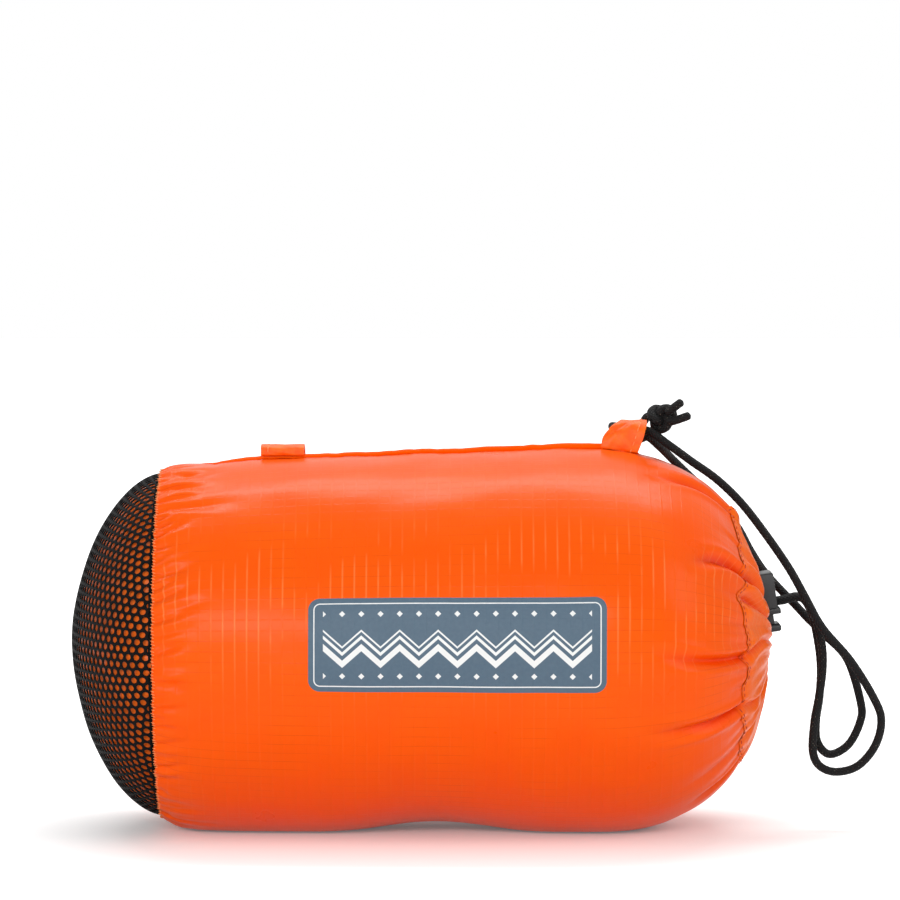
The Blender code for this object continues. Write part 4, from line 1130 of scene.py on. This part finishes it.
# Printed panel, in mm of cloth: its middle round and along the bag, half its size, its corners,
# how far in its thin frame line lies, the zigzag band's pitch, reach and slope, its lines' middles
# and half widths, and the rows of diamonds above and below it
PANEL_ROUND, PANEL_ALONG, PANEL_HALF, PANEL_CORNER = 204.7, 99.9, (48.6, 15.8), 3.9
FRAME_INSET = 1.9
ZIGZAG_PITCH, ZIGZAG_REACH, ZIGZAG_SLOPE = 12.5, 43.75, 0.9
ZIGZAG_LINES = ((-6.4, 1.15), (-3.0, 0.55), (-0.8, 0.30))
DIAMOND_PITCH, DIAMOND_ROWS = 6.25, ((10.4, 1.0), (-10.4, 1.0))
WHOLE_PITCHES = 100.0  # keeps the repeats' counting above zero


def panel_print(node, round_mm, along_mm, tone):
    """Screen-printed panel on the front: a grey rounded field with a white zigzag band and diamonds."""
    y = node("SUBTRACT", PANEL_ROUND, round_mm)
    x = node("SUBTRACT", along_mm, PANEL_ALONG)
    field = rounded_box(node, x, y, *PANEL_HALF, PANEL_CORNER)
    ink = node("MapRange", field, -0.06, 0.06, 1.0, 0.0)
    grain = node("TexNoise", Vector=node("TexCoord")["Object"], Scale=900.0, Detail=2.0)
    grey = node("Mix", grain, "#566A7C", "#5F7484")
    white = node("MapRange", node("ABSOLUTE", node("ADD", field, FRAME_INSET)),
                 0.14, 0.24, 1.0, 0.0)
    repeats = node("ADD", x, WHOLE_PITCHES)
    inside = node("LESS_THAN", node("ABSOLUTE", x), ZIGZAG_REACH)
    slope = node("MULTIPLY_ADD", node("PINGPONG", repeats, ZIGZAG_PITCH / 2), -ZIGZAG_SLOPE, y)
    for middle, half in ZIGZAG_LINES:
        gap = node("ABSOLUTE", node("SUBTRACT", slope, middle))
        line = node("MULTIPLY", inside, node("MapRange", gap, half, half + 0.12, 1.0, 0.0))
        white = node("MAXIMUM", white, line)
    step = node("PINGPONG", repeats, DIAMOND_PITCH / 2)
    for row, half in DIAMOND_ROWS:
        gap = node("ADD", step, node("ABSOLUTE", node("SUBTRACT", y, row)))
        diamonds = node("MULTIPLY", inside, node("MapRange", gap, half - 0.06, half + 0.06, 1.0, 0.0))
        white = node("MAXIMUM", white, diamonds)
    printed = node("Mix", white, grey, "#F1F3F2")
    return node("Mix", ink, tone, printed), ink


def fine_material(name, colour, second, roughness, scale, depth, **extra):
    """Finish with a fine grain: colour and second change over the grain, which also lifts it by depth."""
    made, node, shader = material(name, colour, roughness, **extra)
    grain = node("TexNoise", Vector=node("TexCoord")["Object"], Scale=scale, Detail=4.0, Roughness=0.6)
    tone = node("Mix", node("MapRange", grain, 0.35, 0.65), colour, second)
    feed(shader, Base_Color=tone, Normal=node("Bump", Height=grain, Strength=0.5, Distance=depth))
    return made


def cord_material():
    """Braided polyester cord: matt black strands in crossing spirals, with a few paler flecks of wear."""
    made, node, shader = material("braided_polyester", "#0C0C0D", 0.70, Specular_IOR_Level=0.25)
    coordinates = node("TexCoord")
    place = node("SeparateXYZ", coordinates["UV"])
    turn, rise = place["X"], node("MULTIPLY", place["Y"], 0.85)
    left = node("PINGPONG", node("ADD", turn, rise), 0.56)
    right = node("ADD", node("SUBTRACT", turn, rise), 400.0)
    strands = node("MULTIPLY", left, node("PINGPONG", right, 0.56))
    groove = node("MapRange", strands, 0.02, 0.16)
    worn = node("TexNoise", Vector=coordinates["Object"], Scale=900.0, Detail=1.0)
    fleck = node("MULTIPLY", node("MapRange", worn, 0.58, 0.66),
                 node("MapRange", strands, 0.12, 0.22))
    # Painted shade: the grooves between the strands are painted darker than their crowns
    tone = node("Mix", groove, "#030303", "#121214")
    tone = node("Mix", fleck, tone, "#57534A")
    feed(shader, Base_Color=tone, Normal=node("Bump", Height=groove, Strength=0.8, Distance=0.0003))
    return made


def tape_material():
    """Satin-woven nylon tape: fine ribs across its width, each 0.5 mm, and a soft grain."""
    made, node, shader = material("woven_nylon_tape", "#FF6200", 0.42, Specular_IOR_Level=0.30)
    coordinates = node("TexCoord")
    ribs = node("PINGPONG", node("SeparateXYZ", coordinates["UV"])["X"], 0.25)
    grain = node("TexNoise", Vector=coordinates["Object"], Scale=420.0, Detail=3.0)
    tone = node("Mix", node("MapRange", grain, 0.35, 0.68), "#FF5E00", "#FF7208")
    height = node("MULTIPLY_ADD", ribs, 1.4, grain)
    feed(shader, Base_Color=tone, Normal=node("Bump", Height=height, Strength=0.35, Distance=0.00020))
    return made


# Paper floor with a painted glow: half the bag's length that the dimmer glow round its shadow follows, and
# how strongly the paper glows by itself under the bag and just beside it, as painted light that leaves the
# real shadow showing; the glow beside it is what it keeps, and the far paper glows all white
SHADOW_HALF, FLOOR_PAINTED_GLOW, UNDER_BAG_PAINTED_GLOW = 0.07, 0.52, 0.11
NEAR_FLOOR, FAR_FLOOR = (0.004, 0.100), (0.24, 0.60)


def make_floor():
    """White paper sweep: it keeps the shadow, and has a painted glow for camera and gloss rays that makes it
    read as white away from the bag.
    """
    pick()
    bpy.ops.mesh.primitive_plane_add(size=12.0)
    floor = bpy.context.object
    floor.name = "floor"
    floor.data.transform(Matrix.Translation((0.0, 0.0, -0.0002)))
    paper, node, shader = material("white_paper", "#F2F2F2", 0.9, Emission_Color="#FFFFFF")
    place = node("SeparateXYZ", node("TexCoord")["Object"])
    beside = node("SUBTRACT", node("ABSOLUTE", place["X"]), SHADOW_HALF)
    squares = [node("POWER", node("MAXIMUM", beside, 0.0), 2.0),
               node("POWER", node("ABSOLUTE", place["Y"]), 2.0)]
    away = node("SQRT", node("ADD", *squares))
    near = node("MapRange", away, *NEAR_FLOOR, UNDER_BAG_PAINTED_GLOW, FLOOR_PAINTED_GLOW)
    far = node("MapRange", away, *FAR_FLOOR, 0.0, 1 - FLOOR_PAINTED_GLOW)
    # Painted glow, seen only by camera, gloss and transmission rays
    lift = node("MULTIPLY", seen_directly(node), node("ADD", near, far))
    feed(shader, Emission_Strength=lift)
    floor.data.materials.append(paper)


def dress(pieces, finish):
    for piece in pieces:
        piece.data.materials.clear()
        piece.data.materials.append(finish)


cords = make_cords()
sack = make_sack_cloth()
mesh_cloth = make_mesh_cloth()
stuffing = make_stuffing()
hem = make_hem()
welt = make_welt()
left_loop, right_loop = make_left_loop(), make_right_loop()
stitches = make_stitches()
stitches.append(loop_stitches(right_loop, "right_loop_stitches", "bag", 0.80, 0.02, 0.36))
stitches.append(loop_stitches(left_loop, "left_loop_stitches", "left_loop", 0.16, 0.10, 0.40))
lock = [make_lock_shell(), make_lock_button()]
make_floor()

ripstop = ripstop_material("#FF5700", "#FF5F00", printed=True)
# Painted light: the same cloth on the hem and the welt, painted a little lighter and yellower for how it is
# lit where it lies double at the mouth
hem_ripstop_painted_lighter = ripstop_material("#FF6400", "#FF6E04")
# Painted light: the canopy's ripstop is painted lighter so that it shows in the shade behind the mesh
canopy_ripstop_painted_lighter = ripstop_material("#FF6A18", "#FF7626")
# Warp-knitted polyester mesh: dull black, its loops only just catching the light
knit = fine_material("warp_knit_polyester", "#020202", "#070708", 0.75, 1500.0, 0.00008,
                     Specular_IOR_Level=0.12)
# Moulded acetal: near-black grey, satin, with the faint texture of its mould
acetal = fine_material("moulded_acetal", "#191B1D", "#212426", 0.34, 1100.0, 0.00003,
                       Specular_IOR_Level=0.4)
# Polyester sewing thread: deeper than the cloth it draws together
thread = fine_material("polyester_thread", "#B02A00", "#C83A00", 0.6, 2400.0, 0.00005)
pale_thread = fine_material("pale_polyester_thread", "#FF8A3C", "#FFA765", 0.55, 2400.0, 0.00005)
# Folded parts inside the bag: coated nylon seats, a clear flexible window, and the lock's steel spring
seat_cloth = fine_material("coated_nylon_seat", "#2A2D30", "#34383B", 0.5, 700.0, 0.0001)
window_film = fine_material("flexible_vinyl", "#D5DDDE", "#E2E8E8", 0.15, 90.0, 0.0003,
                            Transmission_Weight=0.6)
spring_steel = fine_material("spring_steel", "#9A9DA0", "#AAB0B3", 0.28, 3000.0, 0.00001, Metallic=1.0)
seam_binding = fine_material("woven_polyester_binding", "#060607", "#0F0F11", 0.7, 1300.0, 0.00012,
                             Specular_IOR_Level=0.2)
braid = cord_material()

dress([sack], ripstop)
dress([hem, welt], hem_ripstop_painted_lighter)
dress([stuffing], canopy_ripstop_painted_lighter)
dress(cords, braid)
dress([mesh_cloth], knit)
dress(lock, acetal)
dress([left_loop, right_loop], tape_material())
dress(stitches[:1], thread)
dress(stitches[1:], pale_thread)
for node, finish in (("mesh_seam_tape", seam_binding), ("seat_panel_lower", seat_cloth),
                     ("seat_panel_upper", seat_cloth), ("folded_window", window_film),
                     ("lock_spring", spring_steel), ("drawcord_hem", braid)):
    dress([bpy.data.objects[node]], finish)
